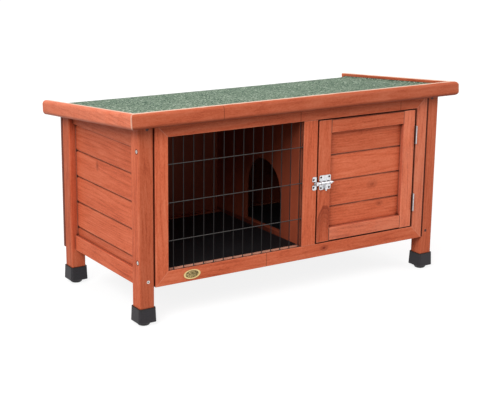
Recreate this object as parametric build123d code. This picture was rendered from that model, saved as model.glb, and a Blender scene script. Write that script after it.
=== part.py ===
from build123d import *
from math import cos, radians, sin
import os

os.makedirs("parts", exist_ok=True)

# A small rabbit hutch. X runs along its length, Y from front to back and Z up. The front faces -Y.
# The origin is on the ground, under the middle of the whole hutch.

# ---- Overall sizes, in millimetres -----------------------------------------------------------
overall_height = 472.5
body_length = 820.4  # over the outer faces of the legs
body_depth = 374.0
roof_pitch = 5.0  # degrees, falling to the back
side_overhang = 33.8  # roof's side edges beyond the legs
front_overhang = 32.0
back_overhang = 32.8
roof_seat_gap = 0.3  # roof underside over the tops of the body

# ---- Legs and foot caps ----------------------------------------------------------------------
leg_side = 35.0
leg_edge_round = 3.0
cap_height = 32.0
cap_wall = 3.0
cap_flare = 1.1  # how much thicker the cap's wall is at its foot
cap_floor = 3.0
cap_clearance = 0.1
glide_radius = 18.0  # where it leaves the cap
glide_tip_radius = 12.0
glide_height = 9.0
glide_round = 2.5

# ---- Timber ----------------------------------------------------------------------------------
edge_round = 1.2
rail_thickness = 20.0
rail_height = 36.0
side_rail_set_in = 10.3  # from the leg's outer face
ground_clearance = 83.8  # under the side and back rails
side_top_rail_height = 32.8  # at its lower end
board_thickness = 9.0
board_pitch = 61.5
side_board_set_in = 17.3
side_first_joint = 20.3  # lowest V joint above the side's bottom rail
board_housing = 6.0  # depth of the grooves that hold the boards' edges
board_end_gap = 0.4
v_joint = 2.2
tongue_length = 4.5
tongue_width = 3.0
tongue_clearance = 0.2
board_gap = 0.3
back_panel_thickness = 8.5
back_panel_step = 1.5  # its lower edge above the rails'

# ---- Front frame -----------------------------------------------------------------------------
frame_step = 1.8  # its lower edge above the side rails'
frame_roof_gap = 5.0  # its top under the roof board
frame_member = 31.7
frame_thickness = 20.5
frame_proud = 2.8  # ahead of the legs' front faces
frame_side_gap = 2.0
mullion_width = 38.4
door_opening = 293.5

# ---- Wire mesh -------------------------------------------------------------------------------
wire_radius = 1.0
wire_weld = 0.25  # how far crossing wires are pressed into each other
wire_pitch = 25.4
cross_wire_pitch = 84.0
first_wire = 15.2  # from the run opening's left edge
first_cross_wire = 65.9  # from the run opening's lower edge
wire_set_in = 6.5  # upright wires behind the frame's front face
wire_housing = 9.0
wire_groove_clearance = 0.3

# ---- Door ------------------------------------------------------------------------------------
door_side_gap = 4.1
door_end_gap = 2.8
door_thickness = 20.5
door_stile = 35.0
door_rail = 31.0
door_board_recess = 11.0
door_rebate = 8.0
door_first_joint = 48.0  # above the door's bottom rail

# ---- Floor and partition ---------------------------------------------------------------------
floor_drop = 0.3  # floor below the frame's openings
floor_thickness = 8.0
batten_side = 18.0
floor_gap = 0.3
partition_set_in = 3.5  # from the mullion's left edge
partition_thickness = 9.0
cleat_side = 15.0
arch_width = 152.0
arch_centre = 167.0  # behind the legs' front faces
arch_sill = 13.0  # above the floor
arch_spring = 100.0  # above the floor

# ---- Roof ------------------------------------------------------------------------------------
trim_height = 33.2
trim_thickness = 17.0
trim_round = 9.0
trim_inner_round = 1.5
felt_drop = 10.0  # felt below the trims' top edges
felt_thickness = 2.5
felt_edge_gap = 0.2
roof_board_thickness = 8.0
roof_board_short = 9.0  # board's back edge short of the trims' ends

# ---- Hardware --------------------------------------------------------------------------------
screw_shank_radius = 1.75
screw_head_radius = 3.6
screw_length = 55.0
screw_clearance = 0.08
screw_recess_width = 0.9
screw_recess_depth = 1.0
side_screw_depth = 9.5  # behind the legs' front faces
side_screw_inset = 57.8  # from the frame's upper and lower edges
rail_screw_low = 16.0  # above the side rail's lower edge
rail_screw_high = 45.0  # above the top rail's lower edge
small_shank_radius = 1.3
small_head_radius = 2.5
small_screw_length = 12.0
short_screw_length = 7.5
nail_radius = 1.1
nail_head_radius = 2.6
nail_head_height = 0.8
nail_length = 24.0
nail_inset = 12.0
nail_columns = 6

hinge_height = 44.0
hinge_inset_top = 60.9  # hinge centre from the door's top
hinge_inset_bottom = 60.1
hinge_leaf_thickness = 1.2
hinge_leaf_depth = 15.0
hinge_barrel_radius = 2.6
hinge_pin_radius = 1.3
hinge_clearance = 0.06
hinge_knuckle_gap = 0.3
hinge_screw_spread = 0.3  # screws from the hinge's middle, as a share of its height

roof_hinge_length = 60.0
roof_hinge_leaf = 24.0
roof_hinge_flap = 13.0
roof_hinge_barrel_radius = 3.0
roof_hinge_pin_radius = 1.5
roof_hinge_gap = 0.2  # between the knuckles and the panel or the roof board

latch_width = 32.0
latch_height = 34.0
latch_plate_thickness = 1.2
latch_corner_round = 3.0
latch_drop = 0.9  # bolt's axis below the door's middle
latch_inset = 3.1  # plate's edge from the door's left edge
latch_screw_x = 11.5
latch_screw_z = 12.5
bolt_radius = 2.75
bolt_clearance = 0.08
bolt_nose_gap = 0.8  # between the bolt's nose and the keeper at rest
bolt_tail = 6.0
bolt_tail_overhang = 6.0  # tail's point past the plate
strap_width = 5.0
strap_wall = 1.3
strap_inset = 1.0
knob_collar_radius = 4.1
knob_gap = 0.3  # between the knob's collar and the plate
knob_collar_width = 4.0
knob_stem_radius = 1.5
knob_end_radius = 2.4
knob_end_length = 7.0
knob_drop = 19.5
keeper_width = 11.5
keeper_height = 31.5
keeper_loop_width = 5.8
staple_clearance = 0.25  # between the bolt and the keeper's staple
staple_round = 1.0
keeper_edge_gap = 1.0
keeper_screw_z = 9.2
keeper_screw_x = 3.4  # from the keeper's left edge

badge_length = 42.0
badge_height = 21.5
badge_thickness = 1.5
badge_rim = 1.6
badge_rim_height = 0.5
badge_centre = 89.5  # from the frame's left end
badge_up = 15.9  # its middle above the frame's lower edge

# ---- Planes worked out from the sizes --------------------------------------------------------
pitch_sin = sin(radians(roof_pitch))
pitch_cos = cos(radians(roof_pitch))
roof_length = body_length + 2 * side_overhang
roof_slope_length = (front_overhang + body_depth + back_overhang) / pitch_cos
roof_lead = (trim_height - trim_round) * pitch_sin + trim_round * (1 - pitch_cos)
roof_front = roof_lead / 2 - roof_slope_length * pitch_cos / 2
roof_top = overall_height + trim_round * (pitch_sin + pitch_cos - 1)
roof_frame = Location((0, roof_front, roof_top), (-roof_pitch, 0, 0))
roof_underside = felt_drop + felt_thickness + roof_board_thickness
roof_normal = (0, pitch_sin, pitch_cos)


def roof_seat(y):
    """Height of the body's sloping top at a distance along Y."""
    return roof_top - (y - roof_front) * pitch_sin / pitch_cos - (roof_underside + roof_seat_gap) / pitch_cos


left = -body_length / 2
right = body_length / 2
front = roof_front + front_overhang
back = front + body_depth
leg_low = glide_height + cap_floor
cap_low = glide_height

frame_left = left + leg_side + frame_side_gap
frame_right = right - leg_side - frame_side_gap
frame_front = front - frame_proud
frame_back = frame_front + frame_thickness
frame_low = ground_clearance + frame_step
frame_top = roof_seat(frame_back) - frame_roof_gap
opening_low = frame_low + frame_member
opening_top = frame_top - frame_member
run_left = frame_left + frame_member
door_hole_right = frame_right - frame_member
door_hole_left = door_hole_right - door_opening
mullion_left = door_hole_left - mullion_width

door_left = door_hole_left + door_side_gap
door_right = door_hole_right - door_side_gap
door_low = opening_low + door_end_gap
door_top = opening_top - door_end_gap
door_back = frame_front + door_thickness
door_middle = (door_low + door_top) / 2

side_rail_x = left + side_rail_set_in
side_rail_inner = side_rail_x + rail_thickness
rail_front = front + leg_side
rail_back = back - leg_side
side_rail_low = ground_clearance
side_rail_top = side_rail_low + rail_height
side_top_rail_low = roof_seat(rail_back) - side_top_rail_height
back_rail_front = back - rail_thickness
back_rail_low = roof_seat(back) - rail_height
floor_top = opening_low - floor_drop

pieces = {}


# ---- Helpers ---------------------------------------------------------------------------------
def block(x_low, x_high, y_low, y_high, z_low, z_high):
    """A plain box between two values on each axis."""
    centre = Pos((x_low + x_high) / 2, (y_low + y_high) / 2, (z_low + z_high) / 2)
    return centre * Box(x_high - x_low, y_high - y_low, z_high - z_low)


def bar(x_low, x_high, y_low, y_high, z_low, z_high, along, radius=edge_round):
    """A length of timber: a box whose long edges are rounded."""
    solid = block(x_low, x_high, y_low, y_high, z_low, z_high)
    return fillet(solid.edges().filter_by(along), radius)


def cut_beyond(solid, point, direction):
    """Takes away the part of a solid beyond a plane, on the side that the direction points to."""
    reach = 2 * (roof_length + overall_height)
    return solid - Plane(origin=point, z_dir=direction) * Pos(0, 0, reach / 2) * Box(reach, reach, reach)


def cut_to_roof(solid):
    """Cuts a piece of the body off just under the roof board."""
    depth = roof_underside + roof_seat_gap
    point = (0, roof_front - depth * pitch_sin, roof_top - depth * pitch_cos)
    return cut_beyond(solid, point, roof_normal)


def rod(start, end, radius):
    """A round bar from one point to another."""
    run = Vector(*end) - Vector(*start)
    plane = Plane(origin=start, z_dir=run)
    return plane * Pos(0, 0, run.length / 2) * Cylinder(radius, run.length)


def screw(point, outward, head_radius, shank_radius, length, grow=0.0):
    """A countersunk screw whose head is flush at the point; grow turns it into its hole."""
    head_height = head_radius - shank_radius
    cone = Pos(0, 0, -head_height / 2) * Cone(shank_radius + grow, head_radius + grow, head_height)
    shank = Pos(0, 0, -length / 2) * Cylinder(shank_radius + grow, length + 2 * grow)
    body = cone + shank
    if grow == 0:
        for angle in (0, 90):
            slot = Box(1.2 * head_radius, screw_recess_width, 2 * screw_recess_depth)
            body -= Rot(0, 0, angle) * slot
    return Plane(origin=point, z_dir=outward) * body


def wood_screws(places, length=screw_length, grow=0.0):
    """The long screws at a list of (point, outward direction) pairs."""
    return [screw(p, d, screw_head_radius, screw_shank_radius, length, grow) for p, d in places]


def small_screws(places, length=small_screw_length, grow=0.0):
    """The small hardware screws at a list of (point, outward direction) pairs."""
    return [screw(p, d, small_head_radius, small_shank_radius, length, grow) for p, d in places]


def drilled(solid, holes):
    """A solid with every hole in a list taken out."""
    for hole in holes:
        solid -= hole
    return solid


def mirrored(solid):
    """The same piece on the hutch's other side."""
    return mirror(solid, about=Plane.YZ)


def board(length, bottom, top, grooved, tongued):
    """One V-jointed board, centred on X, seen face on Y = 0 and facing -Y."""
    middle = board_thickness / 2
    groove_half = tongue_width / 2 + tongue_clearance
    groove_top = bottom + tongue_length + tongue_clearance
    tongue_top = top + tongue_length
    outline = [(0, bottom), (board_thickness, bottom)]
    if grooved:
        low = bottom + board_gap
        outline = [
            (0, low + v_joint),
            (v_joint, low),
            (middle - groove_half, low),
            (middle - groove_half, groove_top),
            (middle + groove_half, groove_top),
            (middle + groove_half, low),
            (board_thickness, low),
        ]
    if tongued:
        outline += [
            (board_thickness, top),
            (middle + tongue_width / 2, top),
            (middle + tongue_width / 2, tongue_top),
            (middle - tongue_width / 2, tongue_top),
            (middle - tongue_width / 2, top),
            (v_joint, top),
            (0, top - v_joint),
        ]
    else:
        outline += [(board_thickness, top), (0, top)]
    face = Plane.YZ * Polygon(*outline, align=None)
    return Pos(-length / 2, 0, 0) * extrude(face, amount=length)


def board_stack(length, low, high, first_joint):
    """Boards from low to high, with V joints at first_joint and every board_pitch above it."""
    joint_count = max(1, round((high - first_joint) / board_pitch))
    joints = [first_joint + index * board_pitch for index in range(joint_count)]
    bottoms = [low] + joints
    tops = joints + [high]
    stack = []
    for index, (bottom, top) in enumerate(zip(bottoms, tops)):
        stack.append(board(length, bottom, top, index > 0, index < joint_count))
    return stack


# ---- Screw places ----------------------------------------------------------------------------
side_screw_y = front + side_screw_depth
side_screw_heights = [frame_low + side_screw_inset, frame_top - side_screw_inset]
rail_screw_x = side_rail_x + rail_thickness / 2
rail_screw_heights = [side_rail_low + rail_screw_low, side_top_rail_low + rail_screw_high]
back_rail_screw_heights = [side_rail_low + rail_screw_low, side_top_rail_low + rail_screw_low]
left_frame_screws = [((left, side_screw_y, z), (-1, 0, 0)) for z in side_screw_heights]
right_frame_screws = [((right, side_screw_y, z), (1, 0, 0)) for z in side_screw_heights]
left_rail_screws = [((rail_screw_x, front, z), (0, -1, 0)) for z in rail_screw_heights]
left_rail_screws += [((rail_screw_x, back, z), (0, 1, 0)) for z in back_rail_screw_heights]
right_rail_screws = [((-x, y, z), d) for (x, y, z), d in left_rail_screws]
left_holes = wood_screws(left_frame_screws + left_rail_screws, grow=screw_clearance)
right_holes = wood_screws(right_frame_screws + right_rail_screws, grow=screw_clearance)


# ---- Legs and caps ---------------------------------------------------------------------------
def leg(x_low, y_low, housing_y):
    """One leg, cut off under the roof, with a groove for the side boards' ends."""
    stick = bar(x_low, x_low + leg_side, y_low, y_low + leg_side, leg_low, overall_height,
                Axis.Z, leg_edge_round)
    groove = block(left + side_board_set_in - tongue_clearance,
                   left + side_board_set_in + board_thickness + tongue_clearance,
                   housing_y, housing_y + board_housing,
                   side_rail_top - board_housing, side_top_rail_low + board_housing)
    return cut_to_roof(stick) - groove


def foot_cap(x_low, y_low):
    """A flared square cap with a round, tapered glide under it."""
    inner = leg_side + 2 * cap_clearance
    top_side = inner + 2 * cap_wall
    foot_side = top_side + 2 * cap_flare
    corner = leg_edge_round + cap_wall
    foot = RectangleRounded(foot_side, foot_side, corner)
    rim = Pos(0, 0, cap_height) * RectangleRounded(top_side, top_side, corner)
    shell = loft([foot, rim])
    hollow = extrude(RectangleRounded(inner, inner, leg_edge_round), amount=cap_height)
    shell -= Pos(0, 0, cap_floor) * hollow
    glide = Pos(0, 0, -glide_height / 2) * Cone(glide_tip_radius, glide_radius, glide_height)
    glide = fillet(glide.edges().sort_by(Axis.Z)[:1], glide_round)
    return Pos(x_low + leg_side / 2, y_low + leg_side / 2, cap_low) * (shell + glide)


leg_front_left = leg(left, front, rail_front - board_housing)
leg_back_left = leg(left, back - leg_side, rail_back)
pieces["leg_front_left"] = drilled(leg_front_left, left_holes)
pieces["leg_front_right"] = drilled(mirrored(leg_front_left), right_holes)
pieces["leg_back_left"] = drilled(leg_back_left, left_holes)
pieces["leg_back_right"] = drilled(mirrored(leg_back_left), right_holes)
cap_front = foot_cap(left, front)
cap_back = foot_cap(left, back - leg_side)
pieces["foot_cap_front_left"] = cap_front
pieces["foot_cap_front_right"] = mirrored(cap_front)
pieces["foot_cap_back_left"] = cap_back
pieces["foot_cap_back_right"] = mirrored(cap_back)

# ---- Sides -----------------------------------------------------------------------------------
board_groove = block(left + side_board_set_in - tongue_clearance,
                     left + side_board_set_in + board_thickness + tongue_clearance,
                     rail_front, rail_back,
                     side_rail_top - board_housing, side_top_rail_low + board_housing)
side_bottom_rail = bar(side_rail_x, side_rail_inner, rail_front, rail_back,
                       side_rail_low, side_rail_top, Axis.Y) - board_groove
side_top_rail = bar(side_rail_x, side_rail_inner, rail_front, rail_back,
                    side_top_rail_low, overall_height, Axis.Y)
side_top_rail = cut_to_roof(side_top_rail) - board_groove
pieces["left_bottom_rail"] = drilled(side_bottom_rail, left_holes)
pieces["left_top_rail"] = drilled(side_top_rail, left_holes)
pieces["right_bottom_rail"] = drilled(mirrored(side_bottom_rail), right_holes)
pieces["right_top_rail"] = drilled(mirrored(side_top_rail), right_holes)

side_board_length = rail_back - rail_front + 2 * (board_housing - board_end_gap)
side_stack = board_stack(side_board_length,
                         side_rail_top - board_housing + board_end_gap,
                         side_top_rail_low + board_housing - board_end_gap,
                         side_rail_top + side_first_joint)
to_left_side = Location((left + side_board_set_in, (front + back) / 2, 0), (0, 0, -90))
left_boards = [to_left_side * plank for plank in side_stack]
pieces["left_side_boards"] = Compound(children=left_boards)
pieces["right_side_boards"] = Compound(children=[mirrored(plank) for plank in left_boards])

# ---- Back ------------------------------------------------------------------------------------
back_rail_left = left + leg_side
back_rail_right = right - leg_side
back_bottom_rail = bar(back_rail_left, back_rail_right, back_rail_front, back,
                       side_rail_low, side_rail_top, Axis.X)
back_top_rail = cut_to_roof(bar(back_rail_left, back_rail_right, back_rail_front, back,
                                back_rail_low, overall_height, Axis.X))
back_panel = cut_to_roof(block(left, right, back, back + back_panel_thickness,
                               ground_clearance + back_panel_step, overall_height))
panel_outer = back + back_panel_thickness


def panel_nail(x, z, grow=0.0):
    """A flat-headed nail driven through the back panel."""
    head = rod((x, panel_outer - grow, z), (x, panel_outer + nail_head_height, z), nail_head_radius + grow)
    shank = rod((x, panel_outer - nail_length - grow, z), (x, panel_outer, z), nail_radius + grow)
    return head + shank


nail_step = (body_length - 2 * nail_inset) / (nail_columns - 1)
nail_heights = [side_rail_low + rail_height / 2, back_rail_low + nail_inset]
nail_spots = [(left + nail_inset + column * nail_step, z) for column in range(nail_columns) for z in nail_heights]
nail_holes = [panel_nail(x, z, screw_clearance) for x, z in nail_spots]
pieces["back_panel_nails"] = Compound(children=[panel_nail(x, z) for x, z in nail_spots])
for name in ("leg_back_left", "leg_back_right"):
    pieces[name] = drilled(pieces[name], nail_holes[:2] + nail_holes[-2:])

# ---- Front frame -----------------------------------------------------------------------------
groove_front = frame_front + wire_set_in - 3 * wire_radius - wire_groove_clearance
groove_back = frame_front + wire_set_in + wire_radius + wire_groove_clearance
wire_groove = block(run_left - wire_housing, mullion_left + wire_housing, groove_front, groove_back,
                    opening_low - wire_housing, opening_top + wire_housing)
root_half = 2 ** 0.5 / 2


def frame_rail(low, corner_z, up):
    """A long rail of the front frame, mitred at both ends."""
    solid = bar(frame_left, frame_right, frame_front, frame_back, low, low + frame_member, Axis.X)
    solid = cut_beyond(solid, (frame_left, 0, corner_z), (-root_half, 0, up * root_half))
    solid = cut_beyond(solid, (frame_right, 0, corner_z), (root_half, 0, up * root_half))
    return solid - wire_groove


def frame_stile(low, corner_x, side):
    """An upright of the front frame, mitred at both ends."""
    solid = bar(low, low + frame_member, frame_front, frame_back, frame_low, frame_top, Axis.Z)
    solid = cut_beyond(solid, (corner_x, 0, frame_low), (side * root_half, 0, -root_half))
    solid = cut_beyond(solid, (corner_x, 0, frame_top), (side * root_half, 0, root_half))
    return solid - wire_groove


pieces["frame_bottom_rail"] = frame_rail(frame_low, frame_low, 1)
pieces["frame_top_rail"] = frame_rail(opening_top, frame_top, -1)
frame_left_stile = frame_stile(frame_left, frame_left, 1)
frame_right_stile = frame_stile(door_hole_right, frame_right, -1)
pieces["frame_left_stile"] = drilled(frame_left_stile, wood_screws(left_frame_screws, grow=screw_clearance))
mullion = bar(mullion_left, door_hole_left, frame_front, frame_back, opening_low, opening_top, Axis.Z)
mullion -= wire_groove

# ---- Wire mesh -------------------------------------------------------------------------------
wire_y = frame_front + wire_set_in
cross_wire_y = wire_y - 2 * wire_radius + wire_weld
wire_end = wire_housing - wire_groove_clearance
wire_count = int((mullion_left - run_left - first_wire) / wire_pitch) + 1
cross_wire_count = int((opening_top - opening_low - first_cross_wire) / cross_wire_pitch) + 1
wires = []
for index in range(wire_count):
    x = run_left + first_wire + index * wire_pitch
    wires.append(rod((x, wire_y, opening_low - wire_end), (x, wire_y, opening_top + wire_end), wire_radius))
for index in range(cross_wire_count):
    z = opening_low + first_cross_wire + index * cross_wire_pitch
    start = (run_left - wire_end, cross_wire_y, z)
    wires.append(rod(start, (mullion_left + wire_end, cross_wire_y, z), wire_radius))
pieces["wire_mesh"] = wires[0].fuse(*wires[1:])

# ---- Floor and partition ---------------------------------------------------------------------
floor_low = floor_top - floor_thickness
floor_panel = block(side_rail_inner + floor_gap, -side_rail_inner - floor_gap,
                    frame_back + floor_gap, back_rail_front - floor_gap, floor_low, floor_top)
for x_low in (left, right - leg_side):
    for y_low in (front, back - leg_side):
        floor_panel -= block(x_low - floor_gap, x_low + leg_side + floor_gap, y_low - floor_gap,
                             y_low + leg_side + floor_gap, 0, overall_height)
pieces["floor_panel"] = floor_panel
pieces["floor_batten_front"] = bar(frame_left, frame_right, frame_back, frame_back + batten_side,
                                   floor_low - batten_side, floor_low, Axis.X)
pieces["floor_batten_back"] = bar(frame_left, frame_right, back_rail_front - batten_side, back_rail_front,
                                  floor_low - batten_side, floor_low, Axis.X)

partition_left = mullion_left + partition_set_in
partition_right = partition_left + partition_thickness
arch_radius = arch_width / 2
arch_y = front + arch_centre
arch_spring_z = floor_top + arch_spring
partition = cut_to_roof(block(partition_left, partition_right, frame_back, back, floor_top, overall_height))
partition -= block(partition_left - 1, partition_right + 1, arch_y - arch_radius, arch_y + arch_radius,
                   floor_top + arch_sill, arch_spring_z)
partition -= rod((partition_left - 1, arch_y, arch_spring_z), (partition_right + 1, arch_y, arch_spring_z),
                 arch_radius)
partition -= block(partition_left - 1, partition_right + 1, back_rail_front - floor_gap, back + 1,
                   0, side_rail_top + floor_gap)
partition -= block(partition_left - 1, partition_right + 1, back_rail_front - floor_gap, back + 1,
                   back_rail_low - floor_gap, overall_height)
pieces["partition_panel"] = partition
front_cleat = bar(partition_right, partition_right + cleat_side, frame_back, frame_back + cleat_side,
                  floor_top, opening_top, Axis.Z)
back_cleat = bar(partition_right, partition_right + cleat_side, back - cleat_side, back,
                 side_rail_top, back_rail_low, Axis.Z)
pieces["partition_cleats"] = Compound(children=[front_cleat, back_cleat])

# ---- Door ------------------------------------------------------------------------------------
rebate = block(door_left + door_stile - door_rebate, door_right - door_stile + door_rebate,
               frame_front + door_board_recess, door_back + 1,
               door_low + door_rail - door_rebate, door_top - door_rail + door_rebate)
door_left_stile = bar(door_left, door_left + door_stile, frame_front, door_back,
                      door_low, door_top, Axis.Z) - rebate
door_right_stile = bar(door_right - door_stile, door_right, frame_front, door_back,
                       door_low, door_top, Axis.Z) - rebate
pieces["door_bottom_rail"] = bar(door_left + door_stile, door_right - door_stile, frame_front, door_back,
                                 door_low, door_low + door_rail, Axis.X) - rebate
pieces["door_top_rail"] = bar(door_left + door_stile, door_right - door_stile, frame_front, door_back,
                              door_top - door_rail, door_top, Axis.X) - rebate
door_stack = board_stack(door_right - door_left - 2 * (door_stile - door_rebate + board_end_gap),
                         door_low + door_rail - door_rebate + board_end_gap,
                         door_top - door_rail + door_rebate - board_end_gap,
                         door_low + door_rail + door_first_joint)
to_door = Pos((door_left + door_right) / 2, frame_front + door_board_recess, 0)
pieces["door_boards"] = Compound(children=[to_door * plank for plank in door_stack])

# ---- Door hinges -----------------------------------------------------------------------------
hinge_x = (door_right + door_hole_right) / 2
hinge_y = frame_front - hinge_barrel_radius
hinge_centres = [door_low + hinge_inset_bottom, door_top - hinge_inset_top]
knuckle = hinge_height / 3


def knuckle_tube(low, high, plate_x_low, plate_x_high):
    """A hinge knuckle round the pin, with the neck that joins it to its leaf."""
    tube = rod((hinge_x, hinge_y, low), (hinge_x, hinge_y, high), hinge_barrel_radius)
    tube += block(plate_x_low, plate_x_high, hinge_y, frame_front + hinge_leaf_thickness, low, high)
    return tube - rod((hinge_x, hinge_y, low - 1), (hinge_x, hinge_y, high + 1),
                      hinge_pin_radius + hinge_clearance)


def hinge_leaf(centre, plate_x_low, plate_x_high, bands):
    """A leaf against the timber's edge, with its own knuckles on the shared pin."""
    low = centre - hinge_height / 2
    leaf = block(plate_x_low, plate_x_high, frame_front + hinge_knuckle_gap, frame_front + hinge_leaf_depth,
                 low, low + hinge_height)
    for band in bands:
        leaf += knuckle_tube(low + band * knuckle + hinge_knuckle_gap / 2,
                             low + (band + 1) * knuckle - hinge_knuckle_gap / 2, plate_x_low, plate_x_high)
    return leaf


door_leaf_x = door_right + hinge_leaf_thickness
frame_leaf_x = door_hole_right - hinge_leaf_thickness
leaf_screw_y = frame_front + 0.6 * hinge_leaf_depth
leaf_screw_heights = [centre + side * hinge_screw_spread * hinge_height
                      for centre in hinge_centres for side in (-1, 1)]
door_leaf_screws = [((door_leaf_x, leaf_screw_y, z), (1, 0, 0)) for z in leaf_screw_heights]
frame_leaf_screws = [((frame_leaf_x, leaf_screw_y, z), (-1, 0, 0)) for z in leaf_screw_heights]
door_leaf_holes = small_screws(door_leaf_screws, grow=screw_clearance)
frame_leaf_holes = small_screws(frame_leaf_screws, grow=screw_clearance)
door_leaves = [hinge_leaf(z, door_right, door_leaf_x, [1]) for z in hinge_centres]
frame_leaves = [hinge_leaf(z, frame_leaf_x, door_hole_right, [0, 2]) for z in hinge_centres]
pieces["door_hinge_door_leaves"] = Compound(children=[drilled(leaf, door_leaf_holes) for leaf in door_leaves])
pieces["door_hinge_frame_leaves"] = Compound(children=[drilled(leaf, frame_leaf_holes) for leaf in frame_leaves])
pieces["door_hinge_pins"] = Compound(children=[
    rod((hinge_x, hinge_y, z - hinge_height / 2), (hinge_x, hinge_y, z + hinge_height / 2), hinge_pin_radius)
    for z in hinge_centres])
pieces["door_leaf_screws"] = Compound(children=small_screws(door_leaf_screws))
pieces["frame_leaf_screws"] = Compound(children=small_screws(frame_leaf_screws))
pieces["door_right_stile"] = drilled(door_right_stile, door_leaf_holes)
right_stile_holes = wood_screws(right_frame_screws, grow=screw_clearance) + frame_leaf_holes
pieces["frame_right_stile"] = drilled(frame_right_stile, right_stile_holes)

# ---- Door latch ------------------------------------------------------------------------------
latch_left = door_left + latch_inset
latch_x = latch_left + latch_width / 2
latch_face = frame_front - latch_plate_thickness
bolt_proud = latch_plate_thickness + knob_gap + knob_collar_radius
bolt_y = frame_front - bolt_proud
bolt_z = door_middle - latch_drop
plate_face = Plane(origin=(latch_x, frame_front, bolt_z), x_dir=(1, 0, 0), z_dir=(0, -1, 0))
plate = extrude(plate_face * RectangleRounded(latch_width, latch_height, latch_corner_round),
                amount=latch_plate_thickness)
strap_radius = bolt_radius + bolt_clearance + strap_wall
strap_starts = [latch_left + strap_inset, latch_left + latch_width - strap_inset - strap_width]
for start in strap_starts:
    plate += block(start, start + strap_width, bolt_y, frame_front, bolt_z - strap_radius, bolt_z + strap_radius)
    plate += rod((start, bolt_y, bolt_z), (start + strap_width, bolt_y, bolt_z), strap_radius)
plate -= rod((latch_left - 1, bolt_y, bolt_z), (latch_left + latch_width + 1, bolt_y, bolt_z),
             bolt_radius + bolt_clearance)
latch_screws = [((latch_x + i * latch_screw_x, latch_face, bolt_z + j * latch_screw_z), (0, -1, 0))
                for i in (-1, 1) for j in (-1, 1)]
latch_holes = small_screws(latch_screws, grow=screw_clearance)
pieces["latch_plate"] = drilled(plate, latch_holes)
pieces["latch_screws"] = Compound(children=small_screws(latch_screws))
pieces["door_left_stile"] = drilled(door_left_stile, latch_holes)

keeper_right = door_hole_left - keeper_edge_gap
keeper_left = keeper_right - keeper_width
keeper_loop_left = keeper_right - keeper_loop_width
staple_half = bolt_radius + staple_clearance
keeper_plane = Plane(origin=((keeper_left + keeper_right) / 2, frame_front, bolt_z),
                     x_dir=(1, 0, 0), z_dir=(0, -1, 0))
keeper = extrude(keeper_plane * RectangleRounded(keeper_width, keeper_height, latch_corner_round),
                 amount=latch_plate_thickness)
staple = bar(keeper_loop_left, keeper_right, bolt_y - staple_half - strap_wall, frame_front,
             bolt_z - staple_half - strap_wall, bolt_z + staple_half + strap_wall, Axis.X, staple_round)
keeper -= block(keeper_left - 1, keeper_loop_left, latch_face - 1, frame_front,
                bolt_z - staple_half - strap_wall, bolt_z + staple_half + strap_wall)
keeper += staple
keeper -= block(keeper_left - 1, keeper_right + 1, bolt_y - staple_half, latch_face,
                bolt_z - staple_half, bolt_z + staple_half)
keeper_screws = [((keeper_left + keeper_screw_x, latch_face, bolt_z + j * keeper_screw_z), (0, -1, 0))
                 for j in (-1, 1)]
keeper_holes = small_screws(keeper_screws, grow=screw_clearance)
pieces["latch_keeper"] = drilled(keeper, keeper_holes)
pieces["keeper_screws"] = Compound(children=small_screws(keeper_screws))
pieces["frame_mullion"] = drilled(mullion, keeper_holes)

bolt_left = keeper_right + bolt_nose_gap
bolt_right = latch_left + latch_width + bolt_tail_overhang
shaft = rod((bolt_left, bolt_y, bolt_z), (bolt_right - bolt_tail, bolt_y, bolt_z), bolt_radius)
shaft = fillet(shaft.edges().sort_by(Axis.X)[:1], bolt_radius / 2)
tail = Plane(origin=(bolt_right - bolt_tail, bolt_y, bolt_z), z_dir=(1, 0, 0))
shaft += tail * Pos(0, 0, bolt_tail / 2) * Cone(bolt_radius, bolt_radius / 4, bolt_tail)
pieces["latch_bolt"] = shaft
knob_x = (strap_starts[0] + strap_starts[1] + strap_width) / 2
knob = rod((knob_x - knob_collar_width / 2, bolt_y, bolt_z), (knob_x + knob_collar_width / 2, bolt_y, bolt_z),
           knob_collar_radius)
knob += rod((knob_x, bolt_y, bolt_z), (knob_x, bolt_y, bolt_z - knob_drop + knob_end_length / 2),
            knob_stem_radius)
knob_end = rod((knob_x, bolt_y, bolt_z - knob_drop), (knob_x, bolt_y, bolt_z - knob_drop + knob_end_length),
               knob_end_radius)
knob += fillet(knob_end.edges().filter_by(GeomType.CIRCLE), knob_end_radius / 2)
knob -= rod((knob_x - knob_collar_width, bolt_y, bolt_z), (knob_x + knob_collar_width, bolt_y, bolt_z),
            bolt_radius + bolt_clearance)
pieces["latch_knob"] = knob

# ---- Badge -----------------------------------------------------------------------------------
badge_plane = Plane(origin=(frame_left + badge_centre, frame_front, frame_low + badge_up),
                    x_dir=(1, 0, 0), z_dir=(0, -1, 0))
badge = extrude(badge_plane * Ellipse(badge_length / 2, badge_height / 2), amount=badge_thickness)
face_plane = badge_plane.offset(badge_thickness - badge_rim_height)
badge -= extrude(face_plane * Ellipse(badge_length / 2 - badge_rim, badge_height / 2 - badge_rim),
                 amount=badge_rim_height)
pieces["badge_plate"] = badge

# ---- Fastener groups of the body -------------------------------------------------------------
pieces["frame_screws"] = Compound(children=wood_screws(left_frame_screws + right_frame_screws))
pieces["rail_screws"] = Compound(children=wood_screws(left_rail_screws + right_rail_screws))

# ---- Roof, built flat and then tilted --------------------------------------------------------
half_roof = roof_length / 2
board_half = half_roof - trim_thickness
board_end = roof_slope_length - roof_board_short




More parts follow.
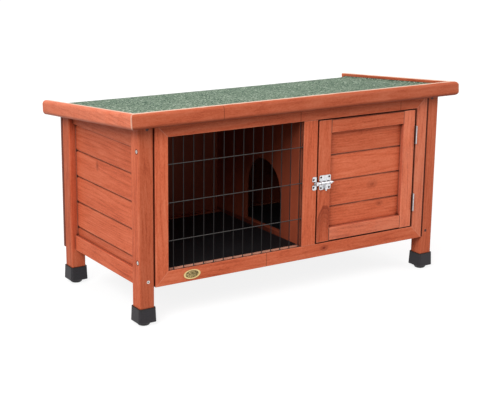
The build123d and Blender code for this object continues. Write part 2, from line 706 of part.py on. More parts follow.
def side_trim():
    """The left trim, mitred at the front."""
    solid = block(-half_roof, -board_half, 0, roof_slope_length, -trim_height, 0)
    long_edges = solid.edges().filter_by(Axis.Y)
    solid = fillet(long_edges.group_by(Axis.X)[0], trim_round)
    solid = fillet(solid.edges().filter_by(Axis.Y).sort_by(Axis.X)[-2:], trim_inner_round)
    return cut_beyond(solid, (-half_roof, 0, 0), (root_half, -root_half, 0))


def front_trim():
    """The front trim, mitred at both ends."""
    solid = block(-half_roof, half_roof, 0, trim_thickness, -trim_height, 0)
    long_edges = solid.edges().filter_by(Axis.X)
    solid = fillet(long_edges.group_by(Axis.Y)[0], trim_round)
    solid = fillet(solid.edges().filter_by(Axis.X).sort_by(Axis.Y)[-2:], trim_inner_round)
    solid = cut_beyond(solid, (-half_roof, 0, 0), (-root_half, root_half, 0))
    return cut_beyond(solid, (half_roof, 0, 0), (root_half, root_half, 0))


roof_board = block(-board_half, board_half, trim_thickness, board_end,
                   -roof_underside, -roof_underside + roof_board_thickness)
felt = block(-board_half + felt_edge_gap, board_half - felt_edge_gap, trim_thickness + felt_edge_gap,
             board_end + felt_thickness, -felt_drop - felt_thickness, -felt_drop)
felt += block(-board_half + felt_edge_gap, board_half - felt_edge_gap, board_end,
              board_end + felt_thickness, -roof_underside, -felt_drop)
left_trim = side_trim()

# ---- Roof hinges -----------------------------------------------------------------------------
# The pin lies just behind the back panel and just under the roof board.
roof_pin_set_off = roof_hinge_barrel_radius + roof_hinge_gap
roof_pin_y = panel_outer + roof_pin_set_off
roof_pin_z = roof_seat(roof_pin_y) + (roof_seat_gap - roof_pin_set_off) / pitch_cos
roof_hinge_centres = [-2 * nail_step, 2 * nail_step]  # halfway between two nails
roof_knuckle = roof_hinge_length / 3


def roof_knuckle_tube(centre, band):
    """One knuckle of a roof hinge, bored for the pin."""
    start = centre - roof_hinge_length / 2 + band * roof_knuckle + hinge_knuckle_gap / 2
    end = start + roof_knuckle - hinge_knuckle_gap
    return rod((start, roof_pin_y, roof_pin_z), (end, roof_pin_y, roof_pin_z), roof_hinge_barrel_radius)


def bored_for_pin(solid, centre):
    """Takes the pin's running clearance out of a roof hinge leaf."""
    start = (centre - roof_hinge_length, roof_pin_y, roof_pin_z)
    end = (centre + roof_hinge_length, roof_pin_y, roof_pin_z)
    return solid - rod(start, end, roof_hinge_pin_radius + hinge_clearance)


def roof_hinge_body_leaf(centre):
    """The leaf on the back panel, with the two outer knuckles."""
    half = roof_hinge_length / 2
    leaf_top = roof_pin_z - roof_hinge_barrel_radius - hinge_knuckle_gap
    leaf = block(centre - half, centre + half, panel_outer, panel_outer + hinge_leaf_thickness,
                 leaf_top - roof_hinge_leaf, leaf_top)
    for band in (0, 2):
        start = centre - half + band * roof_knuckle + hinge_knuckle_gap / 2
        leaf += block(start, start + roof_knuckle - hinge_knuckle_gap, panel_outer,
                      panel_outer + hinge_leaf_thickness, leaf_top, roof_pin_z)
        leaf += roof_knuckle_tube(centre, band)
    return bored_for_pin(leaf, centre)


def roof_hinge_lid_leaf(centre):
    """The leaf under the roof board, with the middle knuckle."""
    half = roof_hinge_length / 2
    pin_u = (roof_pin_y - roof_front) * pitch_cos - (roof_pin_z - roof_top) * pitch_sin
    flap_start = pin_u + roof_hinge_barrel_radius + hinge_knuckle_gap
    leaf = block(centre - half, centre + half, flap_start, pin_u + roof_hinge_flap,
                 -roof_underside - hinge_leaf_thickness, -roof_underside)
    neck_half = roof_knuckle / 2 - hinge_knuckle_gap / 2
    leaf += block(centre - neck_half, centre + neck_half, pin_u, flap_start,
                  -roof_underside - hinge_leaf_thickness, -roof_underside)
    return bored_for_pin(roof_frame * leaf + roof_knuckle_tube(centre, 1), centre)


lid_screw_u = (roof_pin_y - roof_front) * pitch_cos - (roof_pin_z - roof_top) * pitch_sin
lid_screw_u += (roof_hinge_barrel_radius + roof_hinge_flap) / 2
body_screw_z = roof_pin_z - roof_hinge_barrel_radius - roof_hinge_leaf / 2
roof_hinge_spots = [centre + side * roof_hinge_length / 3 for centre in roof_hinge_centres for side in (-1, 1)]
lid_screws = [((x, lid_screw_u, -roof_underside - hinge_leaf_thickness), (0, 0, -1)) for x in roof_hinge_spots]
body_screws = [((x, panel_outer + hinge_leaf_thickness, body_screw_z), (0, 1, 0)) for x in roof_hinge_spots]
lid_holes = small_screws(lid_screws, short_screw_length, screw_clearance)
body_holes = small_screws(body_screws, grow=screw_clearance)
tilted_lid_holes = [roof_frame * hole for hole in lid_holes]
lid_leaves = [drilled(roof_hinge_lid_leaf(centre), tilted_lid_holes) for centre in roof_hinge_centres]
body_leaves = [drilled(roof_hinge_body_leaf(centre), body_holes) for centre in roof_hinge_centres]
pieces["roof_hinge_lid_leaves"] = Compound(children=lid_leaves)
pieces["roof_hinge_body_leaves"] = Compound(children=body_leaves)
pieces["roof_hinge_pins"] = Compound(children=[
    rod((centre - roof_hinge_length / 2, roof_pin_y, roof_pin_z),
        (centre + roof_hinge_length / 2, roof_pin_y, roof_pin_z), roof_hinge_pin_radius)
    for centre in roof_hinge_centres])
pieces["roof_hinge_lid_screws"] = Compound(
    children=[roof_frame * item for item in small_screws(lid_screws, short_screw_length)])
pieces["roof_hinge_body_screws"] = Compound(children=small_screws(body_screws))
pieces["back_panel"] = drilled(back_panel, nail_holes + body_holes)
pieces["back_bottom_rail"] = drilled(back_bottom_rail, nail_holes)
pieces["back_top_rail"] = drilled(back_top_rail, nail_holes + body_holes)

pieces["roof_board"] = roof_frame * drilled(roof_board, lid_holes)
pieces["roof_felt"] = roof_frame * felt
pieces["roof_left_trim"] = roof_frame * left_trim
pieces["roof_right_trim"] = roof_frame * mirrored(left_trim)
pieces["roof_front_trim"] = roof_frame * front_trim()

# ---- Export ----------------------------------------------------------------------------------
for name, piece in pieces.items():
    export_step(piece, f"parts/{name}.step")
print(len(pieces), "nodes; hinge axes:")
print("door", hinge_x, hinge_y, "roof", roof_pin_y, roof_pin_z, "bolt", bolt_y, bolt_z, "knob", knob_x)
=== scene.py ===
from math import cos, pi, radians, sin

import bmesh
import bpy
from bpy.props import FloatProperty, FloatVectorProperty, PointerProperty
from bpy.types import NodeSocket, Operator, Panel, PropertyGroup
from mathutils import Matrix, Vector


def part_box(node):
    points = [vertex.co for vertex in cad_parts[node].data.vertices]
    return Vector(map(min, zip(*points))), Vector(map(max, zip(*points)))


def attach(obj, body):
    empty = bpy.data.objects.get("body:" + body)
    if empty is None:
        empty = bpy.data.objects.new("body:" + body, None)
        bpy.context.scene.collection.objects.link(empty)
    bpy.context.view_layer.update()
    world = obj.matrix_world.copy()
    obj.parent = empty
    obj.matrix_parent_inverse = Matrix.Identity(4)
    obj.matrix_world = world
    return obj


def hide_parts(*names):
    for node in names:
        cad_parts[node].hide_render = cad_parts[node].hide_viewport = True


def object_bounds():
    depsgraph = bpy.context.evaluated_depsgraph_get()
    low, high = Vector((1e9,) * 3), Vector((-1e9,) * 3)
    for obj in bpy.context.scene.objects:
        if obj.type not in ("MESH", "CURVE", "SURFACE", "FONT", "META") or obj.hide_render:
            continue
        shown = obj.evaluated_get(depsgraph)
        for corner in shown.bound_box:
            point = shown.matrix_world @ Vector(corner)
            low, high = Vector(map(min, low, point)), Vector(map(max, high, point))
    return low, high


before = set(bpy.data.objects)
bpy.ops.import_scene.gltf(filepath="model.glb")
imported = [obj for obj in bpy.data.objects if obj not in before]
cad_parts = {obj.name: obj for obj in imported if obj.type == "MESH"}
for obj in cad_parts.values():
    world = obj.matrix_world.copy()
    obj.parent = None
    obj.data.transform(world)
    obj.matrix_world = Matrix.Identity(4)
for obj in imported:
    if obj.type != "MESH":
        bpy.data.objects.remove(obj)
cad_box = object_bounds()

bl_info = {
    "name": "Rabbit Hutch",
    "version": (1, 0, 0),
    "blender": (4, 5, 0),
    "location": "View3D > Sidebar > Hutch",
    "description": "Finishes a small glazed-pine rabbit hutch and sets up its studio",
    "category": "Object",
}

# The hutch's length runs along X, its depth from front to back along Y, and Z is up. Metres.
MM = 0.001


# ---- Colours and sizes a user would change ----

def screen(red, green, blue):
    """A screen colour of 0 to 255 as the linear colour that a shader takes."""
    shares = [value / 255 for value in (red, green, blue)]
    return tuple(s / 12.92 if s < 0.04045 else ((s + 0.055) / 1.055) ** 2.4 for s in shares)


def tint(name, description, red, green, blue):
    """A colour that a user can set, with its default given as a screen colour."""
    return FloatVectorProperty(name=name, description=description, subtype="COLOR", size=3,
                               min=0, max=1, default=screen(red, green, blue))


def distance(name, description, default):
    """A length that a user can set, in metres."""
    return FloatProperty(name=name, description=description, default=default, min=0,
                         subtype="DISTANCE", unit="LENGTH", precision=4)


class TimberSettings(PropertyGroup):
    glaze: tint("Glaze", "Body colour of the glazed pine", 207, 101, 66)
    pale_grain: tint("Pale grain", "Early wood and worn streaks", 225, 126, 91)
    dark_grain: tint("Dark grain", "Late wood and soaked streaks", 156, 63, 39)
    # The knot colour also darkens the joints and serves as painted shade in crevices and on shaded
    # faces.
    knot: tint("Knot", "Heart of a knot or a dark crack", 62, 22, 14)
    # Heartwood's colour also serves as the painted shade under the eaves.
    heart_and_shade: tint("Heartwood", "Dark red heartwood in a flame figure", 120, 42, 26)
    # This colour serves both sun-faded patches and the painted highlights on upper faces and edges.
    bleached_and_highlight: tint("Bleached", "Upper edges that sun and rain have worn", 246, 208, 184)
    ring_width: distance("Ring width", "Distance from one growth ring to the next", 5 * MM)


class FinishSettings(PropertyGroup):
    ply: tint("Ply", "Glazed plywood panels", 176, 84, 56)
    floor_film: tint("Floor film", "Dark film on the floor panel", 12, 11, 13)
    felt: tint("Felt", "Mineral roofing felt", 106, 129, 106)
    felt_dark: tint("Dark granules", "Darkest granules of the felt", 52, 76, 62)
    felt_pale: tint("Pale granules", "Palest granules of the felt", 198, 208, 190)
    cap: tint("Foot cap", "Moulded plastic of the foot caps", 18, 15, 19)
    # The scuffed cap colour is for worn edges that also carry a painted highlight.
    scuffed_cap_highlight: tint("Scuffed cap", "Rubbed edges of the foot caps", 96, 94, 98)
    # The wire top highlight is painted light on the upper side of the wires.
    wire_top_highlight: tint("Wire dust", "Dust on the upper side of the cross wires", 96, 92, 90)
    wire: tint("Wire", "Coating of the wire mesh", 24, 22, 22)
    zinc: tint("Zinc", "Plating of the hinges and the latch", 232, 233, 236)
    screw: tint("Screws", "Plating of the screws and nails", 246, 242, 236)
    # This brown is also painted shade on the hinges.
    browned_and_shade: tint("Browned screws", "Screws glazed over with the wood", 74, 34, 24)
    badge_rim: tint("Badge rim", "Raised brass rim of the badge", 226, 200, 140)
    badge_field: tint("Badge field", "Aged field of the badge", 100, 86, 50)


class FeltSettings(PropertyGroup):
    thickness: distance("Thickness", "Thickness of the felt sheet", 1.4 * MM)
    turn_up: distance("Turned-up edge", "How far the felt rises against the side trims", 3 * MM)
    turn_width: distance("Turned-up width", "Width over which the felt rises", 9 * MM)
    lift: distance("Lift", "How far the felt stands off the board near its ends", 1.1 * MM)
    wave: distance("Waves", "Height of the felt's slow waves", 0.3 * MM)
    fold: distance("Fold", "How far the felt hangs down over the board's back edge", 10.5 * MM)
    fold_round: distance("Fold round", "Radius of the felt where it folds down", 2.5 * MM)


class WireSettings(PropertyGroup):
    first_upright: distance("First upright", "From the left stile to the first upright",
                            15.2 * MM)
    upright_pitch: distance("Upright pitch", "From one upright wire to the next", 25.4 * MM)
    first_cross: distance("First cross wire", "From the bottom rail to the first cross wire",
                          65.9 * MM)
    cross_pitch: distance("Cross pitch", "From one cross wire to the next", 84 * MM)


class StudioSettings(PropertyGroup):
    camera_place: FloatVectorProperty(
        name="Camera", description="Where the camera stands", subtype="TRANSLATION",
        unit="LENGTH", size=3, default=(-1.549, -2.3319, 0.9237))
    camera_heading: FloatProperty(
        name="Heading", description="How far the camera looks round from +Y towards +X",
        subtype="ANGLE", unit="ROTATION", default=radians(33.43))
    camera_dip: FloatProperty(
        name="Dip", description="How far the camera looks down", subtype="ANGLE",
        unit="ROTATION", default=radians(14.74))
    camera_roll: FloatProperty(
        name="Roll", description="How far the camera leans over", subtype="ANGLE",
        unit="ROTATION", default=radians(0.77))
    lens: FloatProperty(
        name="Lens", description="Focal length on a 36 mm wide sensor", subtype="DISTANCE_CAMERA",
        default=86.26)
    sky: FloatProperty(
        name="Sky", description="Strength of the soft light from all round", default=0.24)
    key: FloatProperty(
        name="Key lamp", description="Power of the large lamp at the left", unit="POWER", default=86)
    fill: FloatProperty(
        name="Fill lamp", description="Power of the weak lamp at the right", unit="POWER", default=29)
    top: FloatProperty(
        name="Top lamp", description="Power of the wide lamp above the roof", unit="POWER", default=25)


# ---- Node helpers ----

def add(tree, kind, *inputs, **settings):
    """Adds a shader node of a kind; inputs fill its sockets in order, None leaves one alone."""
    made = tree.nodes.new("ShaderNode" + kind)
    for name, value in settings.items():
        setattr(made, name, value)
    for socket, value in zip(made.inputs, inputs):
        plug(tree, socket, value)
    return made


def plug(tree, socket, value):
    """Links a socket to another, or gives it a value; a colour is opaque."""
    if isinstance(value, NodeSocket):
        tree.links.new(value, socket)
    elif value is not None:
        socket.default_value = (*value, 1) if socket.type == "RGBA" else value


def maths(tree, operation, first, second=None, third=None, clamp=False):
    """One arithmetic step."""
    return add(tree, "Math", first, second, third,
               operation=operation, use_clamp=clamp).outputs[0]


def times(tree, first, second, clamp=False):
    """One number times another."""
    return maths(tree, "MULTIPLY", first, second, clamp=clamp)


def scaled(tree, value, factor, shift, clamp=False):
    """A value times a factor, shifted by a third number."""
    return maths(tree, "MULTIPLY_ADD", value, factor, shift, clamp)


def minus(tree, first, second, clamp=False):
    """One number less another."""
    return maths(tree, "SUBTRACT", first, second, clamp=clamp)


def vector(tree, operation, first, second=None):
    """One step of vector arithmetic."""
    return add(tree, "VectorMath", first, second, operation=operation).outputs[0]


def coordinate(tree, place, axis):
    """One coordinate of a place or a direction."""
    return add(tree, "SeparateXYZ", place).outputs[axis]


def length(tree, offset):
    """How long an offset is."""
    return add(tree, "VectorMath", offset, operation="LENGTH").outputs["Value"]


def grey(tree, value):
    """One number as all three channels of a colour."""
    return add(tree, "CombineXYZ", value, value, value).outputs[0]


def drawn_out(axis, across, along):
    """Three scales: one across an axis and another along it."""
    return [along if name == axis else across for name in "XYZ"]


def mixed(tree, share, first, second):
    """A mix of two colours."""
    made = add(tree, "Mix", data_type="RGBA")
    for name, value in (("Factor", share), ("A", first), ("B", second)):
        plug(tree, made.inputs[name], value)
    return made.outputs["Result"]


def ramp(tree, share, *stops):
    """A smooth ramp through (place, value) stops of grey."""
    made = add(tree, "ValToRGB", share)
    elements = made.color_ramp.elements
    while len(elements) < len(stops):
        elements.new(0.5)
    for element, (place, value) in zip(elements, stops):
        element.position = place
        element.color = (value, value, value, 1)
    return made.outputs[0]


def noise(tree, place, scale, detail=2, roughness=0.5, output=0):
    """Smooth noise with a scale in cells to a metre: its value, or its colour as output 1."""
    scales = scale if isinstance(scale, (tuple, list)) else (scale, scale, scale)
    made = add(tree, "TexNoise", vector(tree, "MULTIPLY", place, scales))
    for name, value in (("Scale", 1), ("Detail", detail), ("Roughness", roughness)):
        made.inputs[name].default_value = value
    return made.outputs[output]


def cells(tree, place, scale, output="Color", **settings):
    """Irregular cells, with a scale in cells to a metre."""
    made = add(tree, "TexVoronoi", place, **settings)
    made.inputs["Scale"].default_value = scale
    return made.outputs[output]


def openness(tree, reach, **settings):
    """How open the surface is to its surroundings within a reach: 1 out in the open."""
    made = add(tree, "AmbientOcclusion", None, reach, samples=8, **settings)
    return made.outputs["AO"]


def object_place(tree):
    """Places on the piece, in metres of the hutch's own frame."""
    return add(tree, "TexCoord").outputs["Object"]


def facing(tree):
    """The way the surface faces, in the hutch's own frame."""
    return add(tree, "TexCoord").outputs["Normal"]


def front_share(tree):
    """1 where the surface faces the hutch's front, down to 0 at right angles to it."""
    return times(tree, coordinate(tree, facing(tree), "Y"), -1, clamp=True)


def surface(tree, shader, colour, roughness, specular=0.5, metallic=0):
    """Gives a shader its colour and its gloss, each a link or a value."""
    values = {"Base Color": colour, "Roughness": roughness, "Specular IOR Level": specular,
              "Metallic": metallic}
    for name, value in values.items():
        plug(tree, shader.inputs[name], value)


def relief(tree, shader, height, strength, depth):
    """Roughens a shader's surface by a height; depth is how far a height of 1 stands out."""
    made = add(tree, "Bump")
    made.inputs["Strength"].default_value = strength
    made.inputs["Distance"].default_value = depth
    plug(tree, made.inputs["Height"], height)
    plug(tree, shader.inputs["Normal"], made.outputs[0])


def emptied_tree(owner):
    """The node tree of a material or a world, with nothing in it."""
    owner.use_nodes = True
    owner.node_tree.nodes.clear()
    return owner.node_tree


def new_material(name):
    """A material with one Principled shader; returns it, its tree and the shader."""
    material = bpy.data.materials.new(name)
    tree = emptied_tree(material)
    shader = add(tree, "BsdfPrincipled")
    add(tree, "OutputMaterial", shader.outputs[0])
    return material, tree, shader


def timber():
    """The timber's settings."""
    return bpy.context.scene.hutch_timber


def finishes():
    """The settings of the other finishes."""
    return bpy.context.scene.hutch_finishes


def shade_of(colour, lightness):
    """A colour made lighter or darker."""
    return [channel * lightness for channel in colour]


def dress(piece, material):
    """Gives a piece one material all over."""
    piece.data.materials.clear()
    piece.data.materials.append(material)


def dress_nodes(material, *names):
    """Gives each named node one material."""
    for name in names:
        dress(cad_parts[name], material)


def mesh_of(name, shape):
    """Turns a bmesh into a mesh."""
    mesh = bpy.data.meshes.new(name)
    shape.to_mesh(mesh)
    shape.free()
    return mesh


def into_scene(name, data):
    """A new object of the scene with its data."""
    made = bpy.data.objects.new(name, data)
    bpy.context.scene.collection.objects.link(made)
    return made


def middle_of(name):
    """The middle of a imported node's box."""
    low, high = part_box(name)
    return (low + high) / 2


# ---- Timber ----

GRAIN_TURNS = {"X": (0, 0, 0), "Y": (0, 0, -pi / 2), "Z": (0, pi / 2, 0)}
# How far a piece's grain may lean off its axis, how far along the noise the pieces are spread,
# how far the grain moves from one board of a stack to the next, and how far the rings wander.
MOST_LEAN = radians(3)
SEED_SPREAD = 40
BOARD_SHIFT = (1.7, 0.013, -0.007)
RING_BEND = 0.03
# How near other surfaces count: for the painted shade under the eaves, for the worn edges with their
# painted highlight, and for the crevices where glaze gathers, which also carry painted shade.
EAVES_SHADE_REACH = 45 * MM
EDGE_REACH = 2.2 * MM
CREVICE_REACH = 9 * MM
# The width of a finger joint's glue line.
GLUE_LINE = 1.8 * MM


def seed_of(name):
    """A number of 0 to 1 that is always the same for a name."""
    total = 0
    for letter in name:
        total = (total * 31 + ord(letter)) % 9973
    return total / 9973


def pine(name, along, pith, tone=1, painted_front_light=1, boards=None, marks=(), wear=1):
    """Glazed pine with its grain along one axis and its pith a little way off the piece.

    tone is how light this piece is beside the others, partly its own tone and partly painted shade, and
    painted_front_light how its front face is painted lighter or darker than the rest, standing in for
    the light on it. boards is (first joint, pitch, tones) where the node is a stack of boards, each
    from another log. marks are functions that add knots, flames, joints, faded places, painted shade
    and painted highlights. wear is how much its edges are worn and painted lighter."""
    settings = timber()
    material, tree, shader = new_material("pine_" + name)
    place = object_place(tree)
    centred = vector(tree, "SUBTRACT", place, middle_of(name) + Vector(pith))
    turned = add(tree, "Mapping", centred)
    lean = (seed_of(name) - 0.5) * MOST_LEAN
    turned.inputs["Rotation"].default_value = Vector(GRAIN_TURNS[along]) + Vector((0, lean, lean))
    grain = turned.outputs[0]
    if boards:
        first_joint, pitch, tones = boards
        height = minus(tree, coordinate(tree, place, "Z"), first_joint)
        boards_up = maths(tree, "DIVIDE", height, pitch)
        step = maths(tree, "FLOOR", boards_up)
        shift = add(tree, "CombineXYZ", *[times(tree, step, way) for way in BOARD_SHIFT])
        grain = vector(tree, "ADD", grain, shift.outputs[0])
    seeded = vector(tree, "ADD", grain, (seed_of(name) * SEED_SPREAD, 0, 0))
    late = growth_rings(tree, grain, seeded, settings.ring_width)
    streaks = noise(tree, seeded, (16, 170, 170), 5, 0.72)
    specks = noise(tree, seeded, (190, 460, 460), 2, 0.7)
    share = grain_depth(tree, seeded, late, streaks, specks)
    colour = mixed(tree, times(tree, share, 2, clamp=True), settings.pale_grain, settings.glaze)
    colour = mixed(tree, scaled(tree, share, 2, -1, clamp=True), colour, settings.dark_grain)
    # The front face is painted lighter or darker than the rest, standing in for the light on it.
    shade = scaled(tree, front_share(tree), tone * (painted_front_light - 1), tone)
    if boards:
        shade = times(tree, shade, board_tone(tree, step, tones))
    colour = vector(tree, "MULTIPLY", colour, grey(tree, shade))
    for mark in marks:
        colour = mark(tree, place, colour)
    if boards:
        colour = joint_lines(tree, place, boards_up, pitch, colour)
    # Painted shade under the eaves and in the crevices, and a painted highlight on the edges, which are
    # partly worn too.
    colour = pooled_glaze_and_shade(tree, rubbed_edge_highlight(tree, painted_eaves_shade(tree, colour), settings.bleached_and_highlight, wear))
    surface(tree, shader, colour, scaled(tree, streaks, 0.24, 0.42), 0.12)
    height = scaled(tree, late, 0.5, maths(tree, "ADD", specks, streaks))
    relief(tree, shader, height, 0.16, 0.6 * MM)
    return material


def growth_rings(tree, grain, seeded, ring_width):
    """Late wood from 0 to 1, in rings round the pith that wander a little."""
    bend = vector(tree, "SUBTRACT", noise(tree, seeded, (2.2, 9, 9), output=1), (0.5, 0.5, 0.5))
    bent = vector(tree, "ADD", grain, vector(tree, "MULTIPLY", bend, (0, RING_BEND, RING_BEND)))
    off_pith = length(tree, vector(tree, "MULTIPLY", bent, (0, 1, 1)))
    rings = maths(tree, "FRACT", maths(tree, "DIVIDE", off_pith, ring_width))
    return ramp(tree, rings, (0, 0.1), (0.55, 0.25), (0.9, 1), (1, 0.1))


def grain_depth(tree, seeded, late, streaks, specks):
    """How deep the glaze's colour is from 0 to 1: the layers of the grain, added up."""
    clouds = noise(tree, seeded, (6, 26, 26), 3)
    pores = ramp(tree, noise(tree, seeded, (70, 620, 620), 2), (0.6, 0), (0.72, 1))
    depth = times(tree, streaks, 0.62)
    for layer, weight in ((late, 0.12), (clouds, 0.42), (specks, 0.42), (pores, 0.1)):
        depth = scaled(tree, layer, weight, depth)
    return scaled(tree, depth, 1.7, -0.88, clamp=True)


def board_tone(tree, step, tones):
    """How light each board of a stack is, counted from below the first joint."""
    total = tones[0]
    for index in range(1, len(tones)):
        above = maths(tree, "GREATER_THAN", step, index - 1.5)
        total = scaled(tree, above, tones[index] - tones[index - 1], total)
    return total


def joint_lines(tree, place, boards_up, pitch, colour):
    """Dark lines of glaze gathered along the V joints of a stack of boards."""
    off = maths(tree, "PINGPONG", boards_up, 0.5)
    patches = noise(tree, place, 30, 3, 0.6)
    share = ramp(tree, off, (0.8 * MM / pitch, 1), (3.4 * MM / pitch, 0))
    share = times(tree, share, scaled(tree, patches, 1.15, -0.05, clamp=True))
    # Each joint opens into a small dark hole beside the back leg.
    leg_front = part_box("leg_back_left")[0].y
    at_leg = maths(tree, "GREATER_THAN", coordinate(tree, place, "Y"), leg_front - 6 * MM)
    hole = ramp(tree, off, (2.5 * MM / pitch, 1), (4.5 * MM / pitch, 0))
    share = maths(tree, "MAXIMUM", share, times(tree, hole, at_leg))
    return darkened(tree, share, colour)


def darkened(tree, share, colour):
    """A colour turned towards the darkest tone of the glaze, for real dark marks and for painted shade.
    """
    return mixed(tree, share, colour, timber().knot)


def painted_top_highlight(axis, start, end, strength=0.95, last_x=None):
    """A mark: a painted highlight on the upper face, a pale strip between two places along an axis.

    last_x is where the strip stops at the right, or None where it runs the piece's whole length."""
    def mark(tree, place, colour):
        unevenness = minus(tree, noise(tree, place, 45, 4, 0.7), 0.5)
        at = scaled(tree, unevenness, 4 * MM, coordinate(tree, place, axis))
        across = maths(tree, "DIVIDE", minus(tree, at, start), end - start, clamp=True)
        up = coordinate(tree, facing(tree), "Z")
        share = times(tree, ramp(tree, across, (0, 0), (0.35, strength)),
                      ramp(tree, up, (0.4, 0), (0.8, 1)))
        if last_x is not None:
            share = times(tree, share, maths(tree, "LESS_THAN", coordinate(tree, place, "X"), last_x))
        return mixed(tree, share, colour, timber().bleached_and_highlight)
    return mark


def faded(share):
    """A mark: glaze that the sun has faded in patches."""
    def mark(tree, place, colour):
        weak = times(tree, noise(tree, place, 24, 3, 0.6), 2 * share)
        return mixed(tree, weak, colour, timber().bleached_and_highlight)
    return mark


def screw_stain(centre, radius):
    """A mark: a dark ring of glaze round a screw's head on a side face."""
    def mark(tree, place, colour):
        off = vector(tree, "MULTIPLY", vector(tree, "SUBTRACT", place, centre), (0, 1, 1))
        reach = maths(tree, "DIVIDE", length(tree, off), 4 * radius)
        return darkened(tree, ramp(tree, reach, (0.3, 0.9), (0.5, 0)), colour)
    return mark


def painted_side_shade(axis, *stops):
    """A mark of painted shade: darkens the faces turned down an axis, by stops of how far they are
    turned.
    """
    def mark(tree, place, colour):
        turned = times(tree, coordinate(tree, facing(tree), axis), -1)
        return darkened(tree, ramp(tree, turned, *stops), colour)
    return mark


# Painted shade: the right side's inside face is darker, standing in for the shade inside the hutch, and
# the trims' lower faces are darker, standing in for the shade under them.
painted_inside_shade = painted_side_shade("X", (0.5, 0), (0.9, 0.6))
painted_underside_shade = painted_side_shade("Z", (0.05, 0), (0.8, 0.5))


def grime_and_shadow_line(axis, start, end, lowest=0):
    """A mark: a dark line on the front along a joint, partly grime and partly painted shadow from the
    piece beside it, fading out from start to end along an axis, and only above the lowest height."""
    def mark(tree, place, colour):
        reach = end - start
        across = maths(tree, "DIVIDE", minus(tree, coordinate(tree, place, axis), start), reach)
        share = ramp(tree, across, (0, 1), (0.7, 0.95), (1, 0))
        share = times(tree, share, maths(tree, "GREATER_THAN", across, -1))
        above = maths(tree, "GREATER_THAN", coordinate(tree, place, "Z"), lowest)
        share = times(tree, times(tree, share, above), front_share(tree))
        return darkened(tree, share, colour)
    return mark


def painted_eaves_shade(tree, colour):
    """Painted shade: deepens the colour under the eaves and in the corners, where shade falls."""
    share = scaled(tree, openness(tree, EAVES_SHADE_REACH), -1.1, 0.9, clamp=True)
    return mixed(tree, share, colour, timber().heart_and_shade)


def rubbed_edge_highlight(tree, colour, pale, wear=1):
    """Lightens the sharp edges: partly where the surface is worn thin, partly a painted highlight along
    them.
    """
    inner = openness(tree, EDGE_REACH, inside=True, only_local=True)
    share = scaled(tree, inner, -0.9 * wear, 0.81 * wear, clamp=True)
    return mixed(tree, share, colour, pale)


def pooled_glaze_and_shade(tree, colour, reach=CREVICE_REACH, crevice_colour=None):
    """Darkens the crevices: partly glaze gathered there with grime stuck in it, partly painted shade
    where shade falls.
    """
    share = scaled(tree, openness(tree, reach), -1.9, 1.42, clamp=True)
    return mixed(tree, share, colour, crevice_colour or timber().knot)


def knot(centre, radius, along, strength=1):
    """A mark: a round knot with a ring of late wood round it, drawn out along the grain."""
    def mark(tree, place, colour):
        scales = drawn_out(along, 1 / radius, 0.6 / radius)
        off = vector(tree, "MULTIPLY", vector(tree, "SUBTRACT", place, centre), scales)
        reach = scaled(tree, noise(tree, place, 180, 1), 0.5, length(tree, off))
        share = ramp(tree, times(tree, reach, 0.2), (0, strength), (0.2, 0.85 * strength),
                     (0.27, 0.3 * strength), (0.36, 0.5 * strength), (0.6, 0))
        return mixed(tree, share, colour, timber().heart_and_shade)
    return mark


def finger_joint(joint):
    """A mark: the thin dark glue line of a finger joint across a rail."""
    def mark(tree, place, colour):
        off = maths(tree, "ABSOLUTE", minus(tree, coordinate(tree, place, "X"), joint))
        share = times(tree, maths(tree, "LESS_THAN", off, GLUE_LINE / 2), 0.5)
        return darkened(tree, share, colour)
    return mark


def flame(peak, half_width, drop):
    """A mark: a pointed arch of dark heartwood on a stile's face, under its peak."""
    def mark(tree, place, colour):
        off = add(tree, "SeparateXYZ", vector(tree, "SUBTRACT", place, peak))
        aside = maths(tree, "DIVIDE", off.outputs["X"], half_width)
        arch = times(tree, maths(tree, "POWER", maths(tree, "ABSOLUTE", aside), 2.4), drop)
        depth = minus(tree, times(tree, off.outputs["Z"], -1), arch)
        unevenness = minus(tree, noise(tree, place, (90, 90, 30), 3), 0.5)
        depth = scaled(tree, unevenness, 12 * MM, depth)
        bands = maths(tree, "FRACT", times(tree, depth, 90))
        inside = ramp(tree, times(tree, depth, 12), (0, 0), (0.04, 0.8), (0.35, 0.55), (1, 0.05))
        share = times(tree, inside, scaled(tree, bands, 0.45, 0.55))
        return mixed(tree, times(tree, share, front_share(tree)), colour, timber().heart_and_shade)
    return mark


